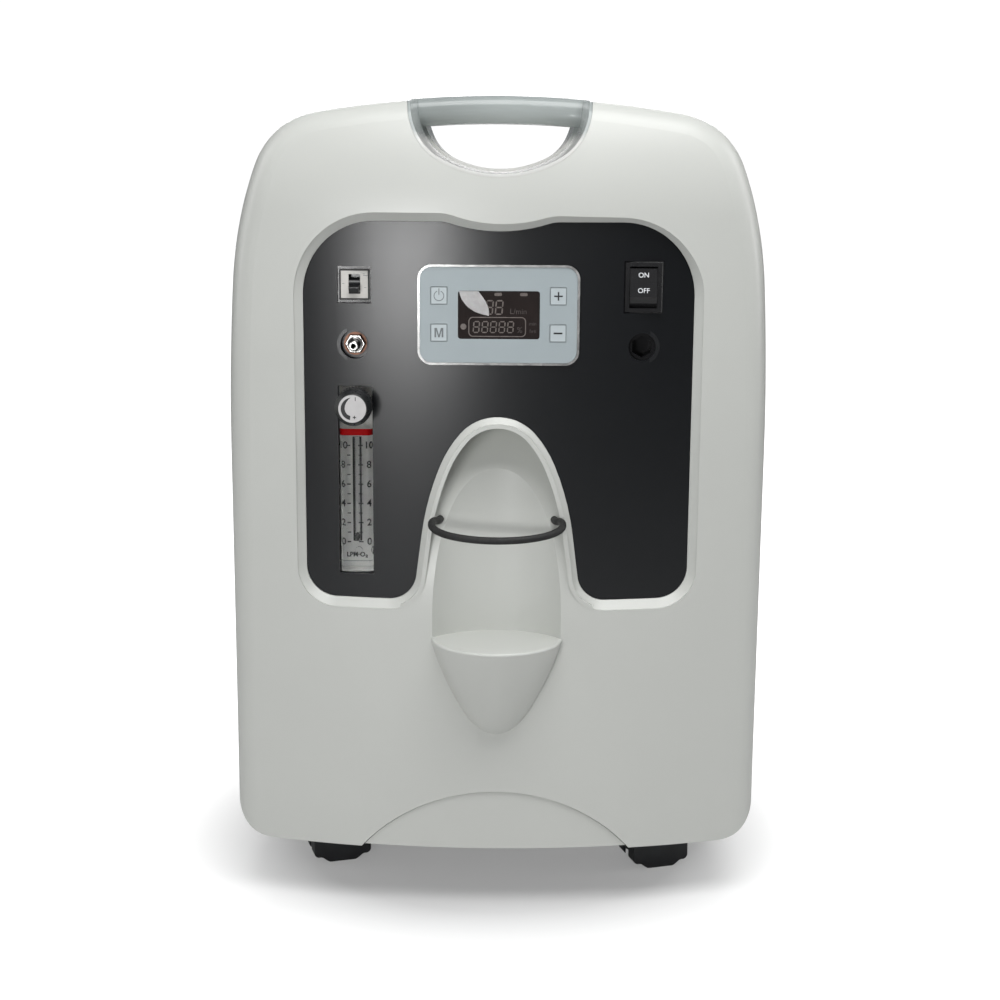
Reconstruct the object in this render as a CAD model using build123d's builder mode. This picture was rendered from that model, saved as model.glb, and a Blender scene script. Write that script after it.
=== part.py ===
from build123d import *
import os
from math import atan2, cos, degrees, hypot, pi, radians, sin, sqrt, tan

os.makedirs("parts", exist_ok=True)

# ---------------------------------------------------------------- driving dimensions, mm
# Frame: X to the right seen from the front, Y towards the back, Z up, floor at Z = 0.

half_width = 195.5
height = 594.6
foot_height = 45.0
front_y = -152.5
rear_y = 192.5
split_y = 10.0
wall = 3.0
column_x = 101.5

# Front outline of the casing: side, shoulder, corner and crown are tangent arcs.
side_radius, side_turn = 1828.0, 3.9
shoulder_radius, shoulder_turn = 292.0, 16.7
corner_radius, corner_turn = 58.6, 60.1
foot_radius = 28.0
draft = 2.0

# The front is bowed about a vertical axis, and leans back above lean_start.
bow_radius = 600.0
lean_start = 512.0
lean_radius = 150.0
edge_radius = 24.0
bow_axis_y = front_y + bow_radius

# Window for the control panel, with a bevelled lip.
window_half = 138.5
window_low, window_high = 234.0, 504.5
window_top_radius, window_low_radius, leg_radius = 52.0, 22.0, 20.0
dip_half, dip_depth, dip_blend = 38.0, 6.5, 25.0
arch_top = 368.0
arch_radii, arch_turns = (35.2, 83.7, 199.5), (49.2, 18.2, 15.2)
lip_width, lip_depth = 7.5, 7.0
frame_depth = 8.6
frame_width = 12.0

# Recess for the humidifier bottle, and the belly under its shelf.
crest_inset = 7.0
shelf_z = 207.5
bowl_radius = 58.0
bowl_centre_y = front_y - 33.0
slope_radius = 246.0
slope_start = 220.0
belly_radius = 48.1
belly_centre_y = front_y + 8.1
belly_tip_z = 132.5
recess_depth = 62.0
lip_fillet = 1.6

# Carrying handle and the channel it spans.
channel_low = 535.0
channel_radii, channel_turns = (86.0, 40.0, 50.0), (30.0, 32.0, 22.0)
rim = 2.0
handle_crown_radius = 789.0
handle_height = 21.4
handle_front_y, handle_back_y = -8.0, 28.0

# Kick panel: an arched cover at the bottom of the front.
kick_radius = 130.0
kick_top = 91.0
kick_recess, kick_gap = 1.5, 0.8

far_front, far_back, far_side, far_top = front_y - 60, rear_y + 20, 250.0, 700.0

seam_gap = 0.4
press_gap = 0.15
running_gap = 0.05

# Bottle strap: a rubber cord whose ends pass through two holes beside the recess.
strap_diameter = 5.2
strap_hole = (41.0, front_y + 12.0, 293.0)
bead_radius, bead_length = 4.5, 5.0

# Rear cover details.
bay_half, bay_low, bay_high, bay_floor_y = 66.0, 358.0, 482.0, 178.0
door_axis_y, door_axis_z = 190.4, 360.2
door_pin_radius, door_pin_length = 1.5, 2.0
vent_x, vent_z = 80.0, 105.0
inlet_x, inlet_z = 110.0, 110.0
inlet_width, inlet_height, inlet_depth = 27.0, 20.0, 18.0
rear_screw_points = [(side * 150, z) for z in (80, 290, 490) for side in (-1, 1)]

# Foot and casters.
foot_screw_x, foot_screw_hole = 155.0, 4.4
foot_screw_points = [
    (side * foot_screw_x, y, foot_height) for y in (-104, -8, 40, 92) for side in (-1, 1)
]
caster_x, caster_front_y, caster_rear_y = 139.0, -54.0, 135.0
wheel_radius, wheel_width, caster_trail = 20.0, 11.0, 14.0


# ---------------------------------------------------------------- shared forms

def front_plane(y):
    """A plane facing the front at depth y, with local x to the right and local y up."""
    return Plane.XZ.offset(-y)


def tangent_arcs(start, radii, turns):
    """Arcs that follow on from the line start, each tangent to the one before."""
    last = start
    for radius, turn in zip(radii, turns):
        last = JernArc(last @ 1, last % 1, radius, turn)
    return last


def casing_block(inset):
    """The casing's outer form moved inwards by inset, closed at the foot."""
    radii = [radius - inset for radius in (side_radius, shoulder_radius, corner_radius)]
    turns = (side_turn, shoulder_turn, corner_turn)
    run, rise, heading = half_width - inset, 0.0, 0.0
    for radius, turn in zip(radii, turns):
        after = heading + turn
        run -= radius * (cos(radians(heading)) - cos(radians(after)))
        rise += radius * (sin(radians(after)) - sin(radians(heading)))
        heading = after
    crown_radius = run / cos(radians(heading))
    rise += crown_radius * (1 - sin(radians(heading)))
    side_top = height - inset - rise
    foot = foot_height + inset
    round_foot = foot_radius - inset
    depth = rear_y - front_y

    with BuildPart() as block:
        with BuildSketch(front_plane(split_y)):
            with BuildLine():
                side = Line((half_width - inset, 10), (half_width - inset, side_top))
                last = tangent_arcs(side, radii, turns)
                JernArc(last @ 1, last % 1, crown_radius, 90 - heading)
                mirror(about=Plane.YZ)
                Line((inset - half_width, 10), (half_width - inset, 10))
            make_face()
        fall = -sin(radians(draft))
        level_run = cos(radians(draft))
        outline = block.pending_faces[0]
        extrude(outline, amount=depth, dir=(0, -level_run, fall))
        extrude(outline, amount=(rear_y - inset - split_y) / level_run, dir=(0, level_run, fall))
        meridian = Plane((0, bow_axis_y, 0), x_dir=(0, -1, 0), z_dir=(-1, 0, 0))
        with BuildSketch(meridian):
            with BuildLine():
                front = Line((bow_radius - inset, -5), (bow_radius - inset, lean_start))
                lean = JernArc(front @ 1, (0, 1), lean_radius - inset, 60)
                Polyline(lean @ 1, (0, (lean @ 1).Y), (0, -5), front @ 0)
            make_face()
        revolve(axis=Axis((0, bow_axis_y, 0), (0, 0, 1)), mode=Mode.INTERSECT)
        rounded = []
        for edge in block.edges():
            box = edge.bounding_box()
            level = box.max.Z - box.min.Z < 0.01
            if box.max.Y < front_y + 60 and not level:
                rounded.append(edge)
            if box.min.Y > rear_y - inset - 0.01 and not (level and box.max.Z < foot_height):
                rounded.append(edge)
        fillet(rounded, edge_radius - inset)
        slack = 0.02
        with BuildSketch(front_plane(rear_y + 1)):
            with BuildLine():
                wide = half_width - inset + slack
                upright = Line((wide, height + 5), (wide, foot + round_foot))
                corner = JernArc(upright @ 1, (0, -1), round_foot, -90)
                Line(corner @ 1, (0, foot))
                Line(upright @ 0, (0, height + 5))
                mirror(about=Plane.YZ)
            make_face()
        extrude(amount=depth + 2, mode=Mode.INTERSECT)
    return block.part


def window_outline(grow=0.0):
    """The n-shaped window, grown outwards by grow; its legs straddle the bottle recess."""
    dip_radius = (dip_half**2 + dip_depth**2) / (2 * dip_depth)
    dip_turn = degrees(atan2(dip_half, dip_radius - dip_depth))
    with BuildSketch() as outline:
        with BuildLine():
            dip = JernArc((0, window_high - dip_depth), (1, 0), dip_radius, dip_turn)
            arch = JernArc((0, arch_top), (1, 0), arch_radii[0], -arch_turns[0])
            for radius, turn in zip(arch_radii[1:], arch_turns[1:]):
                arch = JernArc(arch @ 1, arch % 1, radius, -turn)
            heading = arch % 1
            spread = ((arch @ 1).Y - window_low) * heading.X / -heading.Y
            leg_foot = ((arch @ 1).X + spread, window_low)
            corners = ((window_half, window_low), (window_half, window_high), dip @ 1)
            Polyline(arch @ 1, leg_foot, *corners)
            mirror(about=Plane.YZ)
        make_face()
        at = {
            leg_foot: leg_radius,
            corners[0]: window_low_radius,
            corners[1]: window_top_radius,
            (dip_half, window_high): dip_blend,
        }
        for (x, z), radius in at.items():
            for side in (-1, 1):
                corner = outline.vertices().sort_by_distance((side * x, z))[0]
                fillet(corner, radius)
        if grow:
            offset(amount=grow)
    return outline.sketch


def prism(outline, near_y, far_y):
    """The flat outline, drawn facing the front, carried from near_y back to far_y."""
    with BuildPart() as solid:
        with BuildSketch(front_plane(far_y)):
            add(outline)
        extrude(amount=far_y - near_y)
    return solid.part


def recess_space(grow=0.0):
    """The bottle's recess: a bowl over the shelf, and the sloping arch above; grown by grow."""
    meridian = Plane((0, bow_axis_y, 0), x_dir=(0, -1, 0), z_dir=(-1, 0, 0))
    low = shelf_z - grow
    with BuildPart() as behind:
        with BuildSketch(meridian):
            with BuildLine():
                face = Line((bow_radius - grow, 100), (bow_radius - grow, slope_start))
                slope = JernArc(face @ 1, (0, 1), slope_radius - grow, 50)
                Polyline(slope @ 1, (0, (slope @ 1).Y), (0, 100), face @ 0)
            make_face()
        revolve(axis=Axis((0, bow_axis_y, 0), (0, 0, 1)))
        with BuildSketch(Plane.XY.offset(low)):
            with Locations((0, bowl_centre_y)):
                Circle(bowl_radius + grow)
        extrude(amount=arch_top - low, mode=Mode.SUBTRACT)
    with BuildPart() as space:
        with BuildSketch(front_plane(front_y + recess_depth)):
            with Locations((0, (low + arch_top) / 2)):
                Rectangle(window_half, arch_top - low)
            add(window_outline(crest_inset - grow), mode=Mode.SUBTRACT)
        extrude(amount=recess_depth + 20)
        add(behind.part, mode=Mode.SUBTRACT)
    return space.part


def belly(grow=0.0):
    """The belly that carries the shelf, round in plan and running to a point below."""
    with BuildPart() as bulge:
        side = Plane((0, belly_centre_y, 0), x_dir=(1, 0, 0), z_dir=(0, -1, 0))
        with BuildSketch(side) as profile:
            with BuildLine():
                edge = (belly_radius + grow, shelf_z + min(grow, 0))
                middle = (29.4 + grow, 161 - grow / 2)
                tip = (0, belly_tip_z - grow)
                curve = Spline(edge, middle, tip, tangents=[(-0.27, -1), (-1, -0.25)])
                Polyline(curve @ 1, (0, edge[1]), curve @ 0)
            make_face()
            fillet(profile.vertices().sort_by_distance(edge)[0], lip_fillet)
        revolve(axis=Axis((0, belly_centre_y, 0), (0, 0, 1)))
    return bulge.part


def channel_outline(inset=0.0):
    """The handle channel's smile-shaped outline, open at the top, inset all round."""
    with BuildSketch() as outline:
        with BuildLine():
            first_radius = channel_radii[0] - inset
            arc = JernArc((0, channel_low + inset), (1, 0), first_radius, channel_turns[0])
            for radius, turn in zip(channel_radii[1:], channel_turns[1:]):
                arc = JernArc(arc @ 1, arc % 1, radius - inset, turn)
            rise = (height + 10 - (arc @ 1).Y) / (arc % 1).Y
            top = arc @ 1 + arc % 1 * rise
            Polyline(arc @ 1, top, (0, height + 10))
            mirror(about=Plane.YZ)
        make_face()
    return outline.sketch


def kick_outline(grow=0.0):
    """The arched opening for the kick panel, grown outwards by grow."""
    with BuildSketch() as outline:
        with Locations((0, kick_top - kick_radius)):
            Circle(kick_radius + grow)
        with Locations((0, foot_height - 200)):
            Rectangle(800, 400, mode=Mode.SUBTRACT)
    return outline.sketch


def on_front_face(edge):
    """Whether the edge lies on the bowed front face."""
    for point in (edge @ 0, edge @ 0.5, edge @ 1):
        if abs(hypot(point.X, point.Y - bow_axis_y) - bow_radius) > 0.01:
            return False
    return True



def box_between(x0, x1, y0, y1, z0, z1):
    """A plain block between two opposite corners."""
    with BuildPart() as block:
        with Locations(((x0 + x1) / 2, (y0 + y1) / 2, (z0 + z1) / 2)):
            Box(x1 - x0, y1 - y0, z1 - z0)
    return block.part


def slab(x, z, width, height, near_y, far_y):
    """A plain block centred at (x, z) seen from the front, from near_y back to far_y."""
    return box_between(x - width / 2, x + width / 2, near_y, far_y, z - height / 2, z + height / 2)


def forward(x, y, z):
    """A location whose own Z axis points to the front."""
    return Location((x, y, z), (90, 0, 0))


def backward(x, y, z):
    """A location whose own Z axis points to the back."""
    return Location((x, y, z), (-90, 0, 0))


def sideways(x, y, z):
    """A location whose own Z axis points to the right."""
    return Location((x, y, z), (0, 90, 0))


def half_space(near_y, far_y, low=0.0):
    """A block wider than the casing between two depths, above the height given."""
    return box_between(-far_side, far_side, near_y, far_y, low, far_top)


upwards = (Align.CENTER, Align.CENTER, Align.MIN)
downwards = (Align.CENTER, Align.CENTER, Align.MAX)


def finish(piece, name):
    """Label a finished piece and write its file."""
    piece.part.label = name
    export_step(piece.part, f"parts/{name}.step")


def panel_y(x):
    """Depth of the control panel's bowed front surface at x."""
    return bow_axis_y - sqrt((bow_radius - lip_depth) ** 2 - x**2)


# ---------------------------------------------------------------- casing

outer_form = casing_block(0.0)
inner_form = casing_block(wall)
lip_form = casing_block(lip_depth)
frame_form = casing_block(frame_depth)
tongue_low, tongue_gap, tongue_thickness = foot_height + 6, 0.05, 1.55
foot_half, foot_front, foot_back = 150.0, -120.0, 180.0
foot_opening = box_between(
    -foot_half, foot_half, foot_front, foot_back, foot_height - 5, foot_height + wall + 2
)
channel_slot = prism(channel_outline(-press_gap), far_front, far_back)

# The bevelled frame round the window, thick enough to carry the lip.
with BuildPart() as window_frame:
    add(outer_form)
    add(frame_form, mode=Mode.SUBTRACT)
    add(prism(window_outline(frame_width), far_front, front_y + 60), mode=Mode.INTERSECT)
    add(prism(window_outline(), far_front, front_y + 60), mode=Mode.SUBTRACT)
    face = [f for f in window_frame.faces() if all(on_front_face(e) for e in f.edges())][0]
    chamfer(face.inner_wires()[0].edges(), length=lip_width, length2=lip_depth, reference=face)

with BuildPart() as recess_liner:
    add(recess_space(wall))
    add(outer_form, mode=Mode.INTERSECT)

with BuildPart() as belly_core:
    add(belly(-wall))
    add(recess_space(wall), mode=Mode.SUBTRACT)

with BuildPart() as front_cover:
    add(outer_form)
    add(inner_form, mode=Mode.SUBTRACT)
    add(half_space(far_front, split_y - seam_gap / 2), mode=Mode.INTERSECT)
    add(prism(window_outline(frame_width / 2), far_front, front_y + 60), mode=Mode.SUBTRACT)
    add(window_frame.part)
    add(recess_liner.part)
    add(belly())
    add(recess_space(), mode=Mode.SUBTRACT)
    add(belly_core.part, mode=Mode.SUBTRACT)
    add(prism(kick_outline(), far_front, 0), mode=Mode.SUBTRACT)
    add(foot_opening, mode=Mode.SUBTRACT)
    add(channel_slot, mode=Mode.SUBTRACT)
    with Locations(*foot_screw_points):
        Cylinder(foot_screw_hole / 2, 4 * wall, mode=Mode.SUBTRACT)
    with Locations(*[forward(side * strap_hole[0], *strap_hole[1:]) for side in (-1, 1)]):
        Cylinder(strap_diameter / 2 + 0.1, 12, mode=Mode.SUBTRACT)
finish(front_cover, "front_cover")

# Rear cover: flat back with a filter bay, exhaust slots and power inlet. A tongue along
# its front edge locates it inside the front cover.
with BuildPart() as bay_block:
    bay_z, bay_height = (bay_low + bay_high) / 2, bay_high - bay_low
    add(slab(0, bay_z, 2 * (bay_half + wall), bay_height + 2 * wall, bay_floor_y - wall, rear_y))

with BuildPart() as tongue_root:
    add(outer_form)
    add(half_space(split_y + seam_gap / 2, split_y + 3, tongue_low), mode=Mode.INTERSECT)

with BuildPart() as tongue:
    add(casing_block(wall + tongue_gap))
    add(half_space(split_y - 6, split_y + 1, tongue_low), mode=Mode.INTERSECT)
    add(tongue_root.part)
    add(casing_block(wall + tongue_gap + tongue_thickness), mode=Mode.SUBTRACT)

with BuildPart() as rear_cover:
    add(outer_form)
    add(inner_form, mode=Mode.SUBTRACT)
    add(half_space(split_y + seam_gap / 2, far_back), mode=Mode.INTERSECT)
    add(tongue.part)
    add(bay_block.part)
    add(slab(0, bay_z, 2 * bay_half, bay_height, bay_floor_y, far_back), mode=Mode.SUBTRACT)
    with BuildSketch(front_plane(rear_y)):
        with Locations((0, bay_z)):
            with GridLocations(14, 0, 8, 1):
                SlotOverall(90, 7, rotation=90)
    extrude(amount=40, mode=Mode.SUBTRACT)
    with BuildSketch(front_plane(rear_y)):
        with Locations((vent_x, vent_z)):
            with GridLocations(9, 0, 12, 1):
                SlotOverall(48, 4.5, rotation=90)
    extrude(amount=10, mode=Mode.SUBTRACT)
    add(slab(-inlet_x, inlet_z, inlet_width + 0.2, inlet_height + 0.2, 150, far_back), mode=Mode.SUBTRACT)
    with Locations(*[forward(x, rear_y, z) for x, z in rear_screw_points]):
        CounterBoreHole(2.25, 4.6, 1.4, 40)
    with Locations(sideways(0, door_axis_y, door_axis_z)):
        Cylinder(door_pin_radius + 0.06, 2 * (bay_half + door_pin_length + 0.3), mode=Mode.SUBTRACT)
    add(foot_opening, mode=Mode.SUBTRACT)
    add(channel_slot, mode=Mode.SUBTRACT)
    with Locations(*foot_screw_points):
        Cylinder(foot_screw_hole / 2, 4 * wall, mode=Mode.SUBTRACT)
finish(rear_cover, "rear_cover")

# ---------------------------------------------------------------- handle and kick panel

with BuildPart() as handle_bar:
    with BuildSketch(Plane.YZ):
        with Locations(((handle_front_y + handle_back_y) / 2, height - handle_height / 2)):
            RectangleRounded(handle_back_y - handle_front_y, handle_height, 9.5)
    revolve(axis=Axis((0, 0, height - handle_crown_radius), (0, 1, 0)))
    add(prism(channel_outline(rim / 2), far_front, far_back), mode=Mode.INTERSECT)

with BuildPart() as grip_ring:
    add(prism(channel_outline(rim / 2), split_y - 3, split_y + 3))
    add(prism(channel_outline(rim + 2.4), split_y - 4, split_y + 4), mode=Mode.SUBTRACT)
    add(box_between(-100, 100, -20, 40, 500, height - handle_height + 6), mode=Mode.INTERSECT)

with BuildPart() as carry_handle:
    add(outer_form)
    add(prism(channel_outline(), far_front, far_back), mode=Mode.INTERSECT)
    add(prism(channel_outline(rim), far_front, far_back), mode=Mode.SUBTRACT)
    add(handle_bar.part)
    add(grip_ring.part)
finish(carry_handle, "carry_handle")

# The kick panel fills the arched opening, set back a little, with a flange behind the cover.
with BuildPart() as cover_wall:
    add(outer_form)
    add(inner_form, mode=Mode.SUBTRACT)
    add(prism(kick_outline(-kick_gap), far_front, front_y + 60), mode=Mode.SUBTRACT)

with BuildPart() as set_back:
    add(outer_form)
    add(casing_block(kick_recess), mode=Mode.SUBTRACT)
    add(box_between(-far_side, far_side, far_front, 0, foot_height - 1, 200), mode=Mode.INTERSECT)

with BuildPart() as kick_panel:
    add(outer_form)
    add(casing_block(wall + 2.4), mode=Mode.SUBTRACT)
    add(prism(kick_outline(5.0), far_front, front_y + 24), mode=Mode.INTERSECT)
    add(cover_wall.part, mode=Mode.SUBTRACT)
    add(set_back.part, mode=Mode.SUBTRACT)
finish(kick_panel, "kick_panel")

# ---------------------------------------------------------------- control panel

meter_half, meter_low, meter_high = 11.9, 252.2, 387.7
meter_front_y, meter_back_y = panel_y(column_x) + 4.0, panel_y(column_x) + 29.0
outlet_z, outlet_cup_radius, outlet_cup_depth = 418.0, 10.25, 8.0
port_z, port_radius = 417.5, 9.7
breaker_z, breaker_width, breaker_height = 460.0, 24.0, 26.0
switch_z, switch_width, switch_height = 459.5, 27.4, 36.4
display_z, display_width, display_height, display_corner = 440.0, 113.4, 70.0, 10.0
surface_y = panel_y(column_x)

with BuildPart() as panel_flange:
    add(frame_form)
    add(prism(window_outline(3.5), far_front, front_y + 60), mode=Mode.INTERSECT)

with BuildPart() as control_panel:
    add(lip_form)
    add(prism(window_outline(-0.4), far_front, front_y + 60), mode=Mode.INTERSECT)
    add(panel_flange.part)
    add(casing_block(frame_depth + 2.4), mode=Mode.SUBTRACT)
    with Locations(forward(-column_x, surface_y + 1, outlet_z), forward(column_x, surface_y + 1, port_z)):
        Cylinder(12.6, 13, align=downwards)
    with Locations(forward(-column_x, surface_y + outlet_cup_depth, outlet_z)):
        Cylinder(outlet_cup_radius, 40, align=upwards, mode=Mode.SUBTRACT)
        Cylinder(4.1, 40, mode=Mode.SUBTRACT)
    with Locations(forward(column_x, surface_y, port_z)):
        Cylinder(port_radius, 60, mode=Mode.SUBTRACT)
    with BuildSketch(front_plane(surface_y + 30)):
        with Locations((0, display_z)):
            RectangleRounded(display_width + 0.4, display_height + 0.4, display_corner)
        with Locations((-column_x, breaker_z)):
            Rectangle(breaker_width, breaker_height)
        with Locations((column_x, switch_z)):
            Rectangle(switch_width, switch_height)
        with Locations((-column_x, (meter_low + meter_high) / 2)):
            Rectangle(2 * meter_half + 1, meter_high - meter_low + 1)
    extrude(amount=80, mode=Mode.SUBTRACT)
finish(control_panel, "control_panel")

# Display: chrome frame, printed overlay, lens, board and four keys.
display_front_y = panel_y(0) - 0.4
overlay_y = display_front_y + 0.5
lens_width, lens_height = 57.3, 33.6
lens_x, lens_z = 0.2, 440.1
key_width, key_height, key_travel = 11.5, 12.2, 0.5
key_points = {
    "power_key": (-41.7, 453.5),
    "mode_key": (-41.7, 427.6),
    "plus_key": (41.6, 453.5),
    "minus_key": (41.6, 427.6),
}

with BuildPart() as display_frame:
    with BuildSketch(front_plane(display_front_y + 6.0)):
        with Locations((0, display_z)):
            RectangleRounded(display_width, display_height, display_corner)
    extrude(amount=6.0)
    with BuildSketch(front_plane(display_front_y + 4.5)):
        with Locations((0, display_z)):
            RectangleRounded(display_width - 3.2, display_height - 3.2, display_corner - 1.6)
    extrude(amount=10, mode=Mode.SUBTRACT)
    with Locations(*[forward(x, display_front_y, z) for x, z in key_points.values()]):
        Cylinder(3.0, 40, mode=Mode.SUBTRACT)
    add(box_between(-20, 20, display_front_y, display_front_y + 10, 430, 450), mode=Mode.SUBTRACT)
finish(display_frame, "display_frame")

with BuildPart() as display_overlay:
    with BuildSketch(front_plane(overlay_y + 1.0)):
        with Locations((0, display_z)):
            RectangleRounded(display_width - 3.4, display_height - 3.4, display_corner - 1.7)
        with Locations((lens_x, lens_z)):
            RectangleRounded(lens_width, lens_height, 2.0, mode=Mode.SUBTRACT)
        with Locations(*key_points.values()):
            RectangleRounded(key_width + 0.4, key_height + 0.4, 0.8, mode=Mode.SUBTRACT)
    extrude(amount=1.0)
finish(display_overlay, "display_overlay")

with BuildPart() as display_lens:
    with BuildSketch(front_plane(overlay_y + 1.0)):
        with Locations((lens_x, lens_z)):
            RectangleRounded(lens_width - 0.2, lens_height - 0.2, 1.9)
    extrude(amount=0.6)
    add(slab(lens_x, lens_z, 61, 38, overlay_y + 1.0, overlay_y + 4.0))
finish(display_lens, "display_lens")

with BuildPart() as display_board:
    add(slab(0, display_z, 104, 62, display_front_y + 6.4, display_front_y + 8.0))
    add(box_between(-15, 15, display_front_y + 4.6, display_front_y + 6.4, 432, 448))
finish(display_board, "display_board")

for name, (x, z) in key_points.items():
    with BuildPart() as key:
        with BuildSketch(front_plane(overlay_y + 1.5)):
            with Locations((x, z)):
                RectangleRounded(key_width, key_height, 0.6)
        extrude(amount=1.6)
        chamfer(key.faces().sort_by(Axis.Y)[0].edges(), 0.3)
        add(box_between(x - 7, x + 7, overlay_y + 1.5, overlay_y + 2.3, z - 7, z + 7))
        with Locations(backward(x, overlay_y + 2.3, z)):
            Cylinder(2.0, 2.9, align=upwards)
    finish(key, name)

# Circuit breaker: body, label plate and lever.
breaker_face_y = surface_y + 2.2
lever_axis_y = breaker_face_y + 3.0
lever_gap = 0.25
slot_half, slot_height, slot_z = 4.1, 13.8, breaker_z + 0.3
body_y = breaker_face_y + 1.2

with BuildPart() as breaker_plate:
    add(slab(-column_x, breaker_z, 21.4, 21.7, breaker_face_y, body_y))
    add(slab(-column_x, slot_z, 2 * slot_half, slot_height, far_front, 0), mode=Mode.SUBTRACT)
finish(breaker_plate, "breaker_plate")

with BuildPart() as breaker_body:
    add(slab(-column_x, breaker_z, 23.4, 25.4, body_y, body_y + 28))
    add(slab(-column_x, slot_z, 2 * slot_half, slot_height, body_y - 1, body_y + 9), mode=Mode.SUBTRACT)
    with Locations(sideways(-column_x, lever_axis_y, breaker_z)):
        Cylinder(1.05, 2 * (slot_half + 2), mode=Mode.SUBTRACT)
finish(breaker_body, "breaker_body")

with BuildPart() as breaker_lever:
    with Locations(sideways(-column_x, lever_axis_y, breaker_z)):
        Cylinder(4.0, 2 * (slot_half - lever_gap))
        Cylinder(1.0, 2 * (slot_half + 1.8))
    droop = radians(20)
    lever_axis = (-column_x, lever_axis_y, breaker_z)
    lever_plane = Plane(lever_axis, x_dir=(1, 0, 0), z_dir=(0, -cos(droop), -sin(droop)))
    with BuildSketch(lever_plane.offset(2.0)):
        Rectangle(2 * (slot_half - 0.5), 4.6)
    extrude(amount=9.0)
    fillet(breaker_lever.edges().sort_by(Axis.Y)[:4], 0.8)
finish(breaker_lever, "breaker_lever")

# Rocker switch.
switch_face_y = surface_y - 1.6
rocker_axis_y = switch_face_y + 5.0
opening_half_x, opening_half_z = 9.8, 14.6

with BuildPart() as switch_frame:
    add(slab(column_x, switch_z, 27, 36, switch_face_y, switch_face_y + 4))
    chamfer(switch_frame.faces().sort_by(Axis.Y)[0].edges(), 0.8)
    add(slab(column_x, switch_z, 24.6, 33.2, switch_face_y + 4, switch_face_y + 24))
    opening = slab(
        column_x, switch_z, 2 * opening_half_x, 2 * opening_half_z, switch_face_y - 5, switch_face_y + 14
    )
    add(opening, mode=Mode.SUBTRACT)
    with Locations(sideways(column_x, rocker_axis_y, switch_z)):
        Cylinder(1.25, 2 * (opening_half_x + 1.6), mode=Mode.SUBTRACT)
finish(switch_frame, "switch_frame")

with BuildPart() as switch_rocker:
    side_view = Plane((column_x, rocker_axis_y, switch_z), x_dir=(0, -1, 0), z_dir=(-1, 0, 0))
    with BuildSketch(side_view.offset(-9.55)):
        with BuildLine():
            face = Polyline((2.0, 13.4), (4.2, 13.2), (7.4, -6.6), (2.6, -13.4), (-1.0, -12.6))
            Polyline((-1.0, -12.6), (-4.5, -5), (-4.5, 5), (-1.0, 12.6), (2.0, 13.4))
        make_face()
    extrude(amount=19.1)
    with Locations(sideways(column_x, rocker_axis_y, switch_z)):
        Cylinder(1.2, 2 * (opening_half_x + 1.4))
finish(switch_rocker, "switch_rocker")

# Oxygen outlet: copper washer, hexagon and barbed nipple with a through bore.
outlet_floor_y = surface_y + outlet_cup_depth
washer_thickness, hexagon_thickness, nipple_length = 1.0, 4.0, 19.0
spigot_radius, spigot_length = 3.2, 7.0
nipple_bore = 1.9

with BuildPart() as outlet_washer:
    with BuildSketch(front_plane(outlet_floor_y)):
        with Locations((-column_x, outlet_z)):
            Circle(8.2)
            Circle(4.05, mode=Mode.SUBTRACT)
    extrude(amount=washer_thickness)
finish(outlet_washer, "outlet_washer")

with BuildPart() as outlet_nipple:
    seat = (-column_x, outlet_floor_y - washer_thickness, outlet_z)
    axis_plane = Plane(seat, x_dir=(1, 0, 0), z_dir=(0, -1, 0))
    with BuildSketch(axis_plane):
        RegularPolygon(7.4, 6)
    extrude(amount=hexagon_thickness)
    chamfer(outlet_nipple.faces().sort_by(Axis.Y)[0].edges(), 0.6)
    half_section = Plane(seat, x_dir=(1, 0, 0), z_dir=(0, 0, -1))
    with BuildSketch(half_section):
        with BuildLine():
            outside = Polyline(
                (0, -10), (4.0, -10), (4.0, 3.0), (5.4, 4.2), (5.4, 5.6), (3.6, 6.4), (4.3, 7.6),
                (3.1, 10.0), (4.1, 10.4), (spigot_radius, 12.0), (spigot_radius, nipple_length - 0.5),
                (spigot_radius - 0.5, nipple_length), (0, nipple_length), (0, -10),
            )
        make_face()
    revolve(axis=Axis((-column_x, 0, outlet_z), (0, 1, 0)))
    with Locations(forward(-column_x, outlet_floor_y, outlet_z)):
        Cylinder(nipple_bore, 100, mode=Mode.SUBTRACT)
finish(outlet_nipple, "outlet_nipple")

with BuildPart() as outlet_nut:
    with BuildSketch(front_plane(outlet_floor_y + 9.0)):
        with Locations((-column_x, outlet_z)):
            RegularPolygon(7.4, 6)
            Circle(4.0, mode=Mode.SUBTRACT)
    extrude(amount=3.0)
finish(outlet_nut, "outlet_nut")

# Blank port beside it: a cup with a hexagonal well.
with BuildPart() as port_plug:
    with Locations(backward(column_x, surface_y + 3.0, port_z)):
        Cylinder(port_radius - 0.1, 20, align=upwards)
    with BuildSketch(front_plane(surface_y + 17)):
        with Locations((column_x, port_z)):
            RegularPolygon(7.8, 6, rotation=30)
    extrude(amount=30, mode=Mode.SUBTRACT)
finish(port_plug, "port_plug")

# Flow meter: clear body with a tapered bore, float, brass valve and knob.
float_radius, float_rest_z, float_travel = 2.9, 276.6, 0.070
meter_bore = 3.3
bore_low, bore_high = float_rest_z - float_radius, 350.4
bore_y = meter_front_y + 11.0
knob_z, knob_radius, knob_face_radius = 375.7, 13.0, 10.4
knob_back_y, knob_front_y = surface_y - 5.6, surface_y - 25.5

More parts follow.
